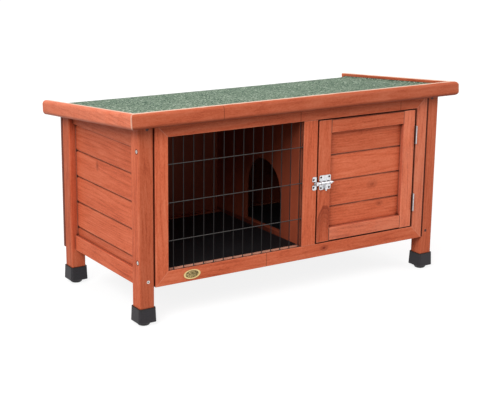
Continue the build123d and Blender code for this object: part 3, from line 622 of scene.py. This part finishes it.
# Each timber node: the way its grain runs, where its pith lies off its middle in metres, how light it
# is beside the others, partly its own tone and partly painted shade as on the back rails inside, and
# how its front face is painted lighter or darker than the rest, standing in for the light on that face.
TIMBER = {
    "leg_front_left": ("Z", (0.05, 0.06, 0), 1.06, 0.76),
    "leg_front_right": ("Z", (-0.06, 0.05, 0), 0.98, 0.92),
    "leg_back_left": ("Z", (0.07, -0.03, 0), 0.95, 1),
    "leg_back_right": ("Z", (-0.04, -0.07, 0), 0.95, 1),
    "left_bottom_rail": ("Y", (0.08, 0, -0.03), 1.18, 1),
    "left_top_rail": ("Y", (0.06, 0, 0.05), 0.95, 1),
    "right_bottom_rail": ("Y", (-0.08, 0, -0.02), 1, 1),
    "right_top_rail": ("Y", (-0.06, 0, 0.05), 0.95, 1),
    "back_bottom_rail": ("X", (0, -0.07, 0.04), 0.4, 0.7),
    "back_top_rail": ("X", (0, -0.06, -0.05), 0.5, 0.7),
    "frame_bottom_rail": ("X", (0, 0.06, 0.02), 1, 1.04),
    "frame_top_rail": ("X", (0, 0.07, -0.03), 0.95, 1),
    "frame_left_stile": ("Z", (0.03, 0.06, 0), 1, 1.06),
    "frame_right_stile": ("Z", (-0.02, 0.07, 0), 1, 1.1),
    "frame_mullion": ("Z", (0.02, 0.05, 0), 0.6, 1.8),
    "door_left_stile": ("Z", (0.01, 0.05, 0), 1, 1),
    "door_right_stile": ("Z", (-0.03, 0.06, 0), 1, 1.26),
    "door_bottom_rail": ("X", (0, 0.05, -0.02), 1, 1.18),
    "door_top_rail": ("X", (0, 0.06, 0.03), 1, 0.98),
    "floor_batten_front": ("X", (0, 0.04, 0.02), 0.9, 1),
    "floor_batten_back": ("X", (0, 0.04, -0.02), 0.9, 1),
    "partition_cleats": ("Z", (0.03, 0.04, 0), 0.9, 1),
    "roof_left_trim": ("Y", (0.07, 0, -0.03), 1.18, 1.36),
    "roof_right_trim": ("Y", (-0.07, 0, 0.03), 1.1, 0.9),
    "roof_front_trim": ("X", (0, 0.08, -0.02), 0.95, 0.82),
}

# The joints of the front frame and the door are glazed over, so their edges are worn less and get less
# painted highlight.
FRAME_RUB_AND_HIGHLIGHT = 0.45


def marks_of(name):
    """The marks that one piece carries: knots, a flame, glued joints, lines of grime and painted
    shadow, painted shade, faded patches and painted highlights.
    """
    low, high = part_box(name)
    front = low.y
    felt_low, felt_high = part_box("roof_felt")
    strip = 9 * MM
    frame_low, frame_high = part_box("frame_right_stile")
    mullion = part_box("frame_mullion")[0].x
    screws_low, screws_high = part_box("frame_screws")
    screw_y = (screws_low.y + screws_high.y) / 2
    head = (screws_high.y - screws_low.y) / 2
    screw_heights = (screws_low.z + head, screws_high.z - head)
    rail_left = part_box("door_left_stile")[1].x
    rail_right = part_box("door_right_stile")[0].x
    rail_ends = [grime_and_shadow_line("X", rail_left, rail_left + 1.3 * MM),
                 grime_and_shadow_line("X", rail_right, rail_right - 1.3 * MM)]
    # The strips on upper faces are painted highlights, the underside and inside marks are painted
    # shade, and the line beside the frame on the right leg is painted shadow.
    marks = {
        "frame_bottom_rail": [knot((0.0748, front, 0.1045), 0.0032, "X"), finger_joint(-0.0875),
                              painted_top_highlight("Y", low.y + 7 * MM, low.y + 10 * MM, 0.45, mullion)],
        "frame_top_rail": [finger_joint(-0.0004), finger_joint(0.2901)],
        "roof_front_trim": [finger_joint(-0.2224), painted_underside_shade,
                            painted_top_highlight("Y", high.y - 3 * MM - strip, high.y - 3 * MM)],
        "roof_left_trim": [painted_underside_shade, faded(0.08),
                           painted_top_highlight("X", felt_low.x - strip, felt_low.x)],
        "door_right_stile": [faded(0.08), grime_and_shadow_line("X", high.x, high.x - 2 * MM)],
        "door_bottom_rail": [faded(0.08), grime_and_shadow_line("Z", low.z, low.z + 1.5 * MM), *rail_ends],
        "door_top_rail": [grime_and_shadow_line("Z", high.z, high.z - 2 * MM), *rail_ends],
        "frame_right_stile": [faded(0.08), grime_and_shadow_line("X", low.x, low.x + 1 * MM)],
        "roof_right_trim": [painted_underside_shade, painted_top_highlight("X", felt_high.x + strip, felt_high.x)],
        "door_left_stile": [flame((0.073, front, 0.21), 0.018, 0.026)],
        "door_boards": [knot((0.2206, front, 0.2377), 0.0044, "X", 0.5),
                        knot((0.2447, front, 0.1876), 0.003, "X", 0.6)],
        "left_side_boards": [knot((low.x, 0.0435, 0.3086), 0.003, "Z", 0.7)],
        "right_side_boards": [painted_inside_shade],
        "leg_front_left": [screw_stain((low.x, screw_y, z), head) for z in screw_heights],
        # Painted shadow of the frame on the right leg's front.
        "leg_front_right": [grime_and_shadow_line("X", frame_high.x + 2 * MM, frame_high.x + 7.5 * MM,
                                      frame_low.z)],
    }
    return marks.get(name, ())


class HUTCH_OT_timber(Operator):
    """Glazes every pine rail, post and trim, each with its own grain"""
    bl_idname = "hutch.timber"
    bl_label = "Glaze the timber"

    def execute(self, context):
        for name, (along, pith, tone, painted_front_light) in TIMBER.items():
            wear = FRAME_RUB_AND_HIGHLIGHT if name.startswith(("frame_", "door_")) else 1
            material = pine(name, along, pith, tone, painted_front_light, marks=marks_of(name), wear=wear)
            dress_nodes(material, name)
        return {"FINISHED"}


# Where the boards' V joints are, in metres above the bottom rail, and how light each board is, from the
# lowest up; the top side board is darker, painted shade under the eaves.
BOARD_PITCH = 0.0615
SIDE_FIRST_JOINT = 0.0203
DOOR_FIRST_JOINT = 0.048
SIDE_TONES = (1, 1.15, 1.14, 1.1, 1, 0.67)
DOOR_TONES = (1.06, 1.06, 1.09, 0.94)


class HUTCH_OT_boards(Operator):
    """Glazes the tongued boards of the sides and the door"""
    bl_idname = "hutch.boards"
    bl_label = "Glaze the boards"

    def execute(self, context):
        for side in ("left", "right"):
            name = f"{side}_side_boards"
            boards = (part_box(f"{side}_bottom_rail")[1].z + SIDE_FIRST_JOINT, BOARD_PITCH, SIDE_TONES)
            dress_nodes(pine(name, "Y", (0.05, 0, 0.02), boards=boards, marks=marks_of(name)), name)
        name = "door_boards"
        boards = (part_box("door_bottom_rail")[1].z + DOOR_FIRST_JOINT, BOARD_PITCH, DOOR_TONES)
        dress_nodes(pine(name, "X", (0, 0.06, 0.02), 1, 1.03, boards, marks_of(name)), name)
        return {"FINISHED"}


# ---- Panels ----

def painted_partition_light(tree, place, colour):
    """A mark of painted light and shade: the partition is lighter along its front edge, where light
    comes in, darker further in and up, and painted shade darkens the sill under its arch."""
    low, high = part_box("partition_panel")
    place = vector(tree, "DIVIDE", vector(tree, "SUBTRACT", place, low), high - low)
    share = add(tree, "SeparateXYZ", place)
    inward = ramp(tree, share.outputs["Y"], (0.09, 0.9), (0.105, 0.62), (0.2, 0.54), (0.5, 0.35))
    upward = ramp(tree, share.outputs["Z"], (0.3, 1), (0.5, 0.84), (0.85, 0.6))
    lightness = times(tree, times(tree, inward, upward), 2)
    colour = vector(tree, "MULTIPLY", colour, grey(tree, lightness))
    sill = maths(tree, "LESS_THAN", share.outputs["Z"], 0.03)
    sill_shade = ramp(tree, share.outputs["Y"], (0.15, 0), (0.35, 0.8))
    return darkened(tree, times(tree, sill, sill_shade), colour)


def ply(name, along, tone=1, marks=()):
    """Glazed plywood: broad, quiet figure and fine pores. tone is how light it is; the low tones inside
    the hutch are painted shade.
    """
    material, tree, shader = new_material("ply_" + name)
    place = object_place(tree)
    pores = noise(tree, place, drawn_out(along, 700, 40), 2)
    pale = shade_of(finishes().ply, tone)
    broad = noise(tree, place, drawn_out(along, 22, 2.5), 4, 0.55)
    figure = scaled(tree, broad, 1.6, -0.6)
    share = scaled(tree, pores, 0.3, figure)
    colour = mixed(tree, share, pale, shade_of(pale, 0.6))
    for mark in marks:
        colour = mark(tree, place, colour)
    surface(tree, shader, colour, 0.6, 0.25)
    relief(tree, shader, pores, 0.15, 0.3 * MM)
    return material


def floor_film():
    """Black phenolic film with a faint print of its pressing mesh."""
    film = finishes().floor_film
    material, tree, shader = new_material("floor_film")
    place = object_place(tree)
    blotch = noise(tree, place, 14, 4)
    colour = mixed(tree, blotch, film, shade_of(film, 2.2))
    surface(tree, shader, colour, scaled(tree, blotch, 0.3, 0.5), 0.2)
    relief(tree, shader, noise(tree, place, 900, 1), 0.2, 0.3 * MM)
    return material


class HUTCH_OT_panels(Operator):
    """Finishes the plywood panels and the dark floor"""
    bl_idname = "hutch.panels"
    bl_label = "Finish the panels"

    def execute(self, context):
        # The low tones of the back panel, the partition and the roof board are painted shade inside the
        # hutch.
        dress_nodes(ply("back_panel", "Z", 0.5), "back_panel")
        dress_nodes(ply("partition_panel", "Z", 0.66, [painted_partition_light]), "partition_panel")
        dress_nodes(ply("roof_board", "X", 0.5), "roof_board")
        dress_nodes(floor_film(), "floor_panel")
        return {"FINISHED"}


# ---- Roofing felt ----

ROOF_PITCH = radians(5)
# Rows of faces across the felt, along its slope, and down its fold at the back.
ROWS_ACROSS = 160
FLAT_ROWS = 60
FOLD_ROWS = 10
# How fast the felt's slow waves turn, in radians to a metre, and how far they wander.
WAVES_ALONG = 23
WAVES_DOWN = 14
WANDERS_ALONG = 5
WANDERS_DOWN = 9
WANDER = 1.2


def felt_finish():
    """Slate-green mineral felt: crushed granules bedded in bitumen."""
    settings = finishes()
    material, tree, shader = new_material("mineral_felt")
    place = object_place(tree)
    granule = add(tree, "SeparateColor", cells(tree, place, 360)).outputs[0]
    share = scaled(tree, noise(tree, place, 190, 2), 0.8, times(tree, granule, 0.7))
    share = scaled(tree, noise(tree, place, (9, 5, 5), 2), 0.2, share)
    dark = scaled(tree, share, -3.6, 3.2, clamp=True)
    pale = scaled(tree, share, 3.6, -3.5, clamp=True)
    colour = mixed(tree, dark, settings.felt, settings.felt_dark)
    colour = mixed(tree, pale, colour, settings.felt_pale)
    surface(tree, shader, colour, 0.92, 0.25)
    relief(tree, shader, granule, 0.5, 0.8 * MM)
    return material


class HUTCH_OT_felt(Operator):
    """Lays the felt sheet over the roof board, turned up against the side trims"""
    bl_idname = "hutch.felt"
    bl_label = "Lay the felt"

    def execute(self, context):
        settings = context.scene.hutch_felt
        low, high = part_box("roof_felt")
        width = high.x - low.x
        # The box of a tilted slab gives its slope length from its depth.
        slope = (high.y - low.y - settings.thickness * sin(ROOF_PITCH)) / cos(ROOF_PITCH)
        shape = bmesh.new()
        bmesh.ops.create_grid(shape, x_segments=ROWS_ACROSS, y_segments=FLAT_ROWS + FOLD_ROWS, size=0.5)
        for vert in shape.verts:
            row = round((vert.co.y + 0.5) * (FLAT_ROWS + FOLD_ROWS))
            vert.co = self.laid(settings, vert.co.x * width, row, width, slope)
        bmesh.ops.solidify(shape, geom=shape.faces[:], thickness=settings.thickness)
        bmesh.ops.recalc_face_normals(shape, faces=shape.faces)
        bmesh.ops.rotate(shape, verts=shape.verts, matrix=Matrix.Rotation(-ROOF_PITCH, 3, "X"))
        bmesh.ops.translate(shape, verts=shape.verts, vec=((low.x + high.x) / 2, low.y, high.z))
        piece = finished("felt_sheet", shape, felt_finish(), "roof")
        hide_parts("roof_felt")
        return {"FINISHED"}

    def laid(self, settings, x, row, width, slope):
        """Where a point of the sheet lies before the sheet is tilted to the roof's pitch."""
        flat = slope - settings.lift - settings.fold_round
        bend = settings.fold_round * pi / 2
        drop = settings.fold - settings.fold_round
        past = max(0, row - FLAT_ROWS) / FOLD_ROWS
        turned = min(past * (bend + drop), bend) / settings.fold_round
        hung = max(0, past * (bend + drop) - bend)
        y = flat * min(1, row / FLAT_ROWS) + settings.fold_round * sin(turned)
        rise = max(0, 1 - (width / 2 - abs(x)) / settings.turn_width)
        off_middle = y - slope / 2
        wave = (sin(x * WAVES_ALONG + WANDER * sin(off_middle * WANDERS_DOWN))
                * cos(off_middle * WAVES_DOWN + x * WANDERS_ALONG))
        sag = 1 - min(1, 2 * abs(x) / width) ** 2
        z = settings.turn_up * rise * rise - settings.lift * sag + settings.wave * wave * (1 - sag) / 2
        return x, y, z * (1 - past) - settings.fold_round * (1 - cos(turned)) - hung


def finished(name, shape, material, body):
    """Turns a bmesh into a smooth piece that rides on a body."""
    piece = into_scene(name, mesh_of(name, shape))
    piece.data.shade_smooth()
    dress(piece, material)
    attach(piece, body)
    return piece


# ---- Feet, wire, hardware ----

# The black of the foot caps' painted shade in their crevices and round their lip, also used on their
# glide.
SHADOW_BLACK = (0.002, 0.002, 0.002)
# A bead's sizes at a wire's end, as shares of the wire's radius.
BEAD_HEIGHT = 1.6
BEAD_FOOT = 2.1
BEAD_NECK = 1.25
BEAD_ROUND = 0.2


def moulded_plastic():
    """Black plastic with a fine moulded grain, darker on its glide, with painted shadow round its lip,
    painted shade in its crevices and worn edges with a painted highlight.
    """
    settings = finishes()
    material, tree, shader = new_material("cap_plastic")
    place = object_place(tree)
    scuffs = noise(tree, place, (200, 200, 260), 4, 0.7)
    share = scaled(tree, scuffs, 2.2, -0.8, clamp=True)
    dusty = mixed(tree, share, settings.cap, shade_of(settings.cap, 3.6))
    colour = rubbed_edge_highlight(tree, dusty, settings.scuffed_cap_highlight)
    low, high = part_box("foot_cap_front_left")
    height = coordinate(tree, place, "Z")
    # Painted shadow round the lip, and the glide darker.
    glide = maths(tree, "LESS_THAN", height, low.z + 9 * MM)
    lip = maths(tree, "GREATER_THAN", height, high.z - 2.6 * MM)
    shade = times(tree, maths(tree, "MAXIMUM", glide, lip), 0.85)
    colour = pooled_glaze_and_shade(tree, mixed(tree, shade, colour, SHADOW_BLACK), 12 * MM, SHADOW_BLACK)
    surface(tree, shader, colour, scaled(tree, scuffs, 0.2, 0.42), 0.4)
    relief(tree, shader, noise(tree, place, 1500, 1), 0.25, 0.2 * MM)
    return material


def coated_wire():
    """Dark coated wire, a little uneven where the coat has run, with a painted highlight on its upper
    side.
    """
    settings = finishes()
    material, tree, shader = new_material("coated_wire")
    runs = noise(tree, object_place(tree), (300, 300, 90), 2)
    share = scaled(tree, runs, 2.2, -1, clamp=True)
    colour = mixed(tree, share, settings.wire, shade_of(settings.wire, 1.9))
    # Painted highlight on the upper side of the wires.
    top_highlight = ramp(tree, coordinate(tree, facing(tree), "Z"), (0, 0), (0.7, 0.8))
    colour = mixed(tree, top_highlight, colour, settings.wire_top_highlight)
    surface(tree, shader, colour, scaled(tree, runs, 0.3, 0.4), 0.2)
    relief(tree, shader, runs, 0.2, 0.3 * MM)
    return material


def plated(name, colour, roughness, reach=4 * MM):
    """Plated steel with a faint spangle and handling marks, and painted shade within a reach of other
    pieces.
    """
    material, tree, shader = new_material(name)
    place = object_place(tree)
    spangle = add(tree, "SeparateColor", cells(tree, place, 260)).outputs[0]
    marks = noise(tree, place, (150, 150, 600), 4, 0.7)
    share = scaled(tree, marks, 2.2, scaled(tree, spangle, 0.3, -0.85), clamp=True)
    plain = mixed(tree, share, colour, shade_of(colour, 0.6))
    gloss = scaled(tree, marks, 0.2, roughness)
    surface(tree, shader, pooled_glaze_and_shade(tree, plain, reach), gloss, metallic=1)
    relief(tree, shader, marks, 0.12, 0.2 * MM)
    return material


class HUTCH_OT_feet(Operator):
    """Finishes the moulded foot caps"""
    bl_idname = "hutch.feet"
    bl_label = "Finish the feet"

    def execute(self, context):
        dress_nodes(moulded_plastic(), "foot_cap_front_left", "foot_cap_front_right",
                    "foot_cap_back_left", "foot_cap_back_right")
        return {"FINISHED"}


class HUTCH_OT_wire(Operator):
    """Coats the welded wire mesh of the run and beads its ends where they enter the frame"""
    bl_idname = "hutch.wire"
    bl_label = "Coat the wire mesh"

    def execute(self, context):
        settings = context.scene.hutch_wire
        material = coated_wire()
        dress_nodes(material, "wire_mesh")
        low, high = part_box("wire_mesh")
        radius = (high.y - low.y) / 4
        cross_y, upright_y = low.y + radius, high.y - radius
        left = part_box("frame_left_stile")[1].x
        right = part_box("frame_mullion")[0].x
        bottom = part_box("frame_bottom_rail")[1].z
        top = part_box("frame_top_rail")[0].z
        shape = bmesh.new()
        x = left + settings.first_upright
        while x < right:
            self.bead(shape, radius, (x, upright_y, bottom), 0, "X")
            self.bead(shape, radius, (x, upright_y, top), pi, "X")
            x += settings.upright_pitch
        z = bottom + settings.first_cross
        while z < top:
            self.bead(shape, radius, (left, cross_y, z), pi / 2, "Y")
            self.bead(shape, radius, (right, cross_y, z), -pi / 2, "Y")
            z += settings.cross_pitch
        finished("wire_end_beads", shape, material, "hutch")
        return {"FINISHED"}

    def bead(self, shape, radius, foot, turn, axis):
        """A bead of coating round a wire where it enters the wood, with the wood at its foot."""
        placing = Matrix.Translation(foot) @ Matrix.Rotation(turn, 4, axis)
        height = BEAD_HEIGHT * radius
        made = bmesh.ops.create_cone(shape, cap_ends=True, segments=14, radius1=BEAD_FOOT * radius,
                                     radius2=BEAD_NECK * radius, depth=height,
                                     matrix=placing @ Matrix.Translation((0, 0, height / 2)))
        own = set(made["verts"])
        rim = [edge for edge in shape.edges if own.issuperset(edge.verts)]
        bmesh.ops.bevel(shape, geom=rim, offset=BEAD_ROUND * radius, segments=2, profile=0.5,
                        affect="EDGES", material=-1, clamp_overlap=True)


LATCH_NODES = ("latch_plate", "latch_keeper", "latch_bolt", "latch_knob")
HINGE_NODES = ("door_hinge_door_leaves", "door_hinge_frame_leaves", "door_hinge_pins",
               "roof_hinge_lid_leaves", "roof_hinge_body_leaves", "roof_hinge_pins")
SCREW_NODES = ("door_leaf_screws", "frame_leaf_screws", "frame_screws", "roof_hinge_lid_screws",
               "roof_hinge_body_screws", "back_panel_nails")
BROWNED_NODES = ("latch_screws", "keeper_screws")
# The share of the hutch's height above which the rail screws are glazed over.
GLAZED_ABOVE = 0.85


class HUTCH_OT_hardware(Operator):
    """Plates the hinges, the latch, the screws and the nails"""
    bl_idname = "hutch.hardware"
    bl_label = "Plate the hardware"

    def execute(self, context):
        settings = finishes()
        dress_nodes(plated("zinc_plate", settings.zinc, 0.24), *LATCH_NODES)
        dress_nodes(hinges_with_painted_shade(settings.zinc), *HINGE_NODES)
        dress_nodes(plated("screw_plate", settings.screw, 0.32), *SCREW_NODES)
        dress_nodes(plated("browned_screw", settings.browned_and_shade, 0.4), *BROWNED_NODES)
        dress_nodes(part_glazed_screws(settings.screw), "rail_screws")
        return {"FINISHED"}


def brown_over(material, share):
    """Turns a share of a plated material brown: glaze over some screws, painted shade on the hinges;
    returns its shader.
    """
    tree = material.node_tree
    shader = tree.nodes["Principled BSDF"]
    base = shader.inputs["Base Color"]
    plug(tree, base, mixed(tree, share, base.links[0].from_socket, finishes().browned_and_shade))
    return shader


def hinges_with_painted_shade(zinc):
    """The hinges' zinc: duller, with painted shade on the side that faces left, towards the door, and
    near other pieces.
    """
    material = plated("hinge_plate", shade_of(zinc, 0.86), 0.34, 12 * MM)
    tree = material.node_tree
    left = times(tree, coordinate(tree, facing(tree), "X"), -1)
    brown_over(material, ramp(tree, left, (0.2, 0), (0.75, 0.9)))
    return material


def part_glazed_screws(steel):
    """The rail screws: bright at the lower left, glazed over like the wood elsewhere."""
    material = plated("rail_screw_plate", steel, 0.32)
    tree = material.node_tree
    place = object_place(tree)
    right = maths(tree, "GREATER_THAN", coordinate(tree, place, "X"), 0)
    upper = maths(tree, "GREATER_THAN", coordinate(tree, place, "Z"), cad_box[1].z * GLAZED_ABOVE)
    glazed = maths(tree, "MAXIMUM", right, upper)
    shader = brown_over(material, glazed)
    plug(tree, shader.inputs["Metallic"], scaled(tree, glazed, -0.1, 0.2))
    return material


def badge_finish():
    """Cast brass: a bright rim round a pebbled field that has gone dark in its hollows."""
    settings = finishes()
    material, tree, shader = new_material("badge_brass")
    low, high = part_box("badge_plate")
    half = (high - low) / 2
    place = object_place(tree)
    off = vector(tree, "SUBTRACT", place, middle_of("badge_plate"))
    reach = length(tree, vector(tree, "MULTIPLY", off, (1 / half.x, 0, 1 / half.z)))
    pebbles = cells(tree, place, 420, "Distance", feature="SMOOTH_F1")
    height = ramp(tree, pebbles, (0.15, 1), (0.6, 0))
    worn = noise(tree, place, 160, 3)
    bright = scaled(tree, worn, 1.3, scaled(tree, height, 0.8, -0.62), clamp=True)
    rim = ramp(tree, reach, (0.76, 0), (0.8, 1))
    moat = ramp(tree, reach, (0.66, 0), (0.72, 1), (0.77, 0))
    share = maths(tree, "MAXIMUM", rim, bright)
    share = minus(tree, share, times(tree, moat, 0.8), clamp=True)
    colour = mixed(tree, share, settings.badge_field, settings.badge_rim)
    surface(tree, shader, colour, scaled(tree, share, -0.2, 0.5), metallic=0.7)
    relief(tree, shader, share, 0.5, 0.5 * MM)
    return material


class HUTCH_OT_badge(Operator):
    """Finishes the small oval badge, which is left plain"""
    bl_idname = "hutch.badge"
    bl_label = "Finish the badge"

    def execute(self, context):
        dress_nodes(badge_finish(), "badge_plate")
        return {"FINISHED"}


# ---- Studio ----

def seen_white(tree):
    """1 for rays that should meet a white background: seen, mirrored or through glass."""
    ray = add(tree, "LightPath")
    seen = maths(tree, "MAXIMUM", ray.outputs["Is Camera Ray"], ray.outputs["Is Glossy Ray"])
    return maths(tree, "MAXIMUM", seen, ray.outputs["Is Transmission Ray"])


# Where each lamp hangs and how wide it is, in metres.
LAMPS = {"key": ((-2.3, -1.7, 2.2), 1.6), "fill": ((2.4, -2, 1.6), 1.8),
         "top": ((0.1, 0.9, 2.3), 1.8)}
# How far the floor reaches each way, in metres.
FLOOR_REACH = 15


def lamp(name, place, target, size, power):
    """A large soft lamp that faces a target."""
    data = bpy.data.lights.new(name, "AREA")
    data.size = size
    data.energy = power
    made = into_scene(name, data)
    made.location = place
    made.rotation_euler = (Vector(target) - Vector(place)).to_track_quat("-Z", "Y").to_euler()


class HUTCH_OT_studio(Operator):
    """Sets up the floor, the light and the camera"""
    bl_idname = "hutch.studio"
    bl_label = "Set up the studio"

    def execute(self, context):
        settings = context.scene.hutch_studio
        self.lay_floor()
        self.light_world(settings)
        aim = (0, 0, cad_box[1].z / 2)
        for name, (place, size) in LAMPS.items():
            lamp(f"{name}_lamp", place, aim, size, getattr(settings, name))
        self.place_camera(settings)
        context.scene.view_settings.view_transform = "Standard"
        return {"FINISHED"}

    def lay_floor(self):
        shape = bmesh.new()
        bmesh.ops.create_grid(shape, x_segments=1, y_segments=1, size=FLOOR_REACH)
        floor = into_scene("studio_floor", mesh_of("studio_floor", shape))
        material = bpy.data.materials.new("studio_floor")
        tree = emptied_tree(material)
        # Far from the lamps the floor glows fully, so that it stays white out to the horizon.
        strength = scaled(tree, length(tree, object_place(tree)), 0.07, 0.79)
        strength = maths(tree, "MINIMUM", maths(tree, "MAXIMUM", strength, 0.86), 1)
        glow = add(tree, "Emission", (1, 1, 1), strength)
        faint = add(tree, "BsdfDiffuse", (0.24, 0.24, 0.24))
        seen = add(tree, "AddShader", glow.outputs[0], faint.outputs[0])
        pale = add(tree, "BsdfDiffuse", (0.5, 0.5, 0.5))
        both = add(tree, "MixShader", seen_white(tree), pale.outputs[0], seen.outputs[0])
        add(tree, "OutputMaterial", both.outputs[0])
        dress(floor, material)

    def light_world(self, settings):
        world = bpy.data.worlds.new("studio_sky")
        bpy.context.scene.world = world
        tree = emptied_tree(world)
        soft = add(tree, "Background", (1, 1, 1), settings.sky)
        white = add(tree, "Background", (1, 1, 1), 1)
        both = add(tree, "MixShader", seen_white(tree), soft.outputs[0], white.outputs[0])
        add(tree, "OutputWorld", both.outputs[0])

    def place_camera(self, settings):
        data = bpy.data.cameras.new("camera")
        data.sensor_width = 36
        data.lens = settings.lens
        camera = into_scene("camera", data)
        turn = Matrix.Rotation(-settings.camera_heading, 4, "Z")
        turn @= Matrix.Rotation(pi / 2 - settings.camera_dip, 4, "X")
        turn @= Matrix.Rotation(settings.camera_roll, 4, "Z")
        camera.matrix_world = Matrix.Translation(settings.camera_place) @ turn
        bpy.context.scene.camera = camera


# ---- Panel and registration ----

OPERATORS = (HUTCH_OT_timber, HUTCH_OT_boards, HUTCH_OT_panels, HUTCH_OT_felt, HUTCH_OT_feet,
             HUTCH_OT_wire, HUTCH_OT_hardware, HUTCH_OT_badge, HUTCH_OT_studio)


class HUTCH_PT_panel(Panel):
    """Lists the hutch's finishes and its studio"""
    bl_idname = "HUTCH_PT_panel"
    bl_label = "Rabbit hutch"
    bl_space_type = "VIEW_3D"
    bl_region_type = "UI"
    bl_category = "Hutch"

    def draw(self, context):
        for operator in OPERATORS:
            self.layout.operator(operator.bl_idname)
        for name, group in SETTINGS.items():
            box = self.layout.box()
            for setting in group.__annotations__:
                box.prop(getattr(context.scene, name), setting)


SETTINGS = {"hutch_timber": TimberSettings, "hutch_finishes": FinishSettings,
            "hutch_felt": FeltSettings, "hutch_wire": WireSettings, "hutch_studio": StudioSettings}
CLASSES = (*SETTINGS.values(), *OPERATORS, HUTCH_PT_panel)


def register():
    for made in CLASSES:
        bpy.utils.register_class(made)
    for name, group in SETTINGS.items():
        setattr(bpy.types.Scene, name, PointerProperty(type=group))


def unregister():
    for name in SETTINGS:
        delattr(bpy.types.Scene, name)
    for made in reversed(CLASSES):
        bpy.utils.unregister_class(made)


def main():
    register()
    bpy.ops.hutch.timber()
    bpy.ops.hutch.boards()
    bpy.ops.hutch.panels()
    bpy.ops.hutch.felt()
    bpy.ops.hutch.feet()
    bpy.ops.hutch.wire()
    bpy.ops.hutch.hardware()
    bpy.ops.hutch.badge()
    bpy.ops.hutch.studio()


if __name__ == "__main__":
    main()
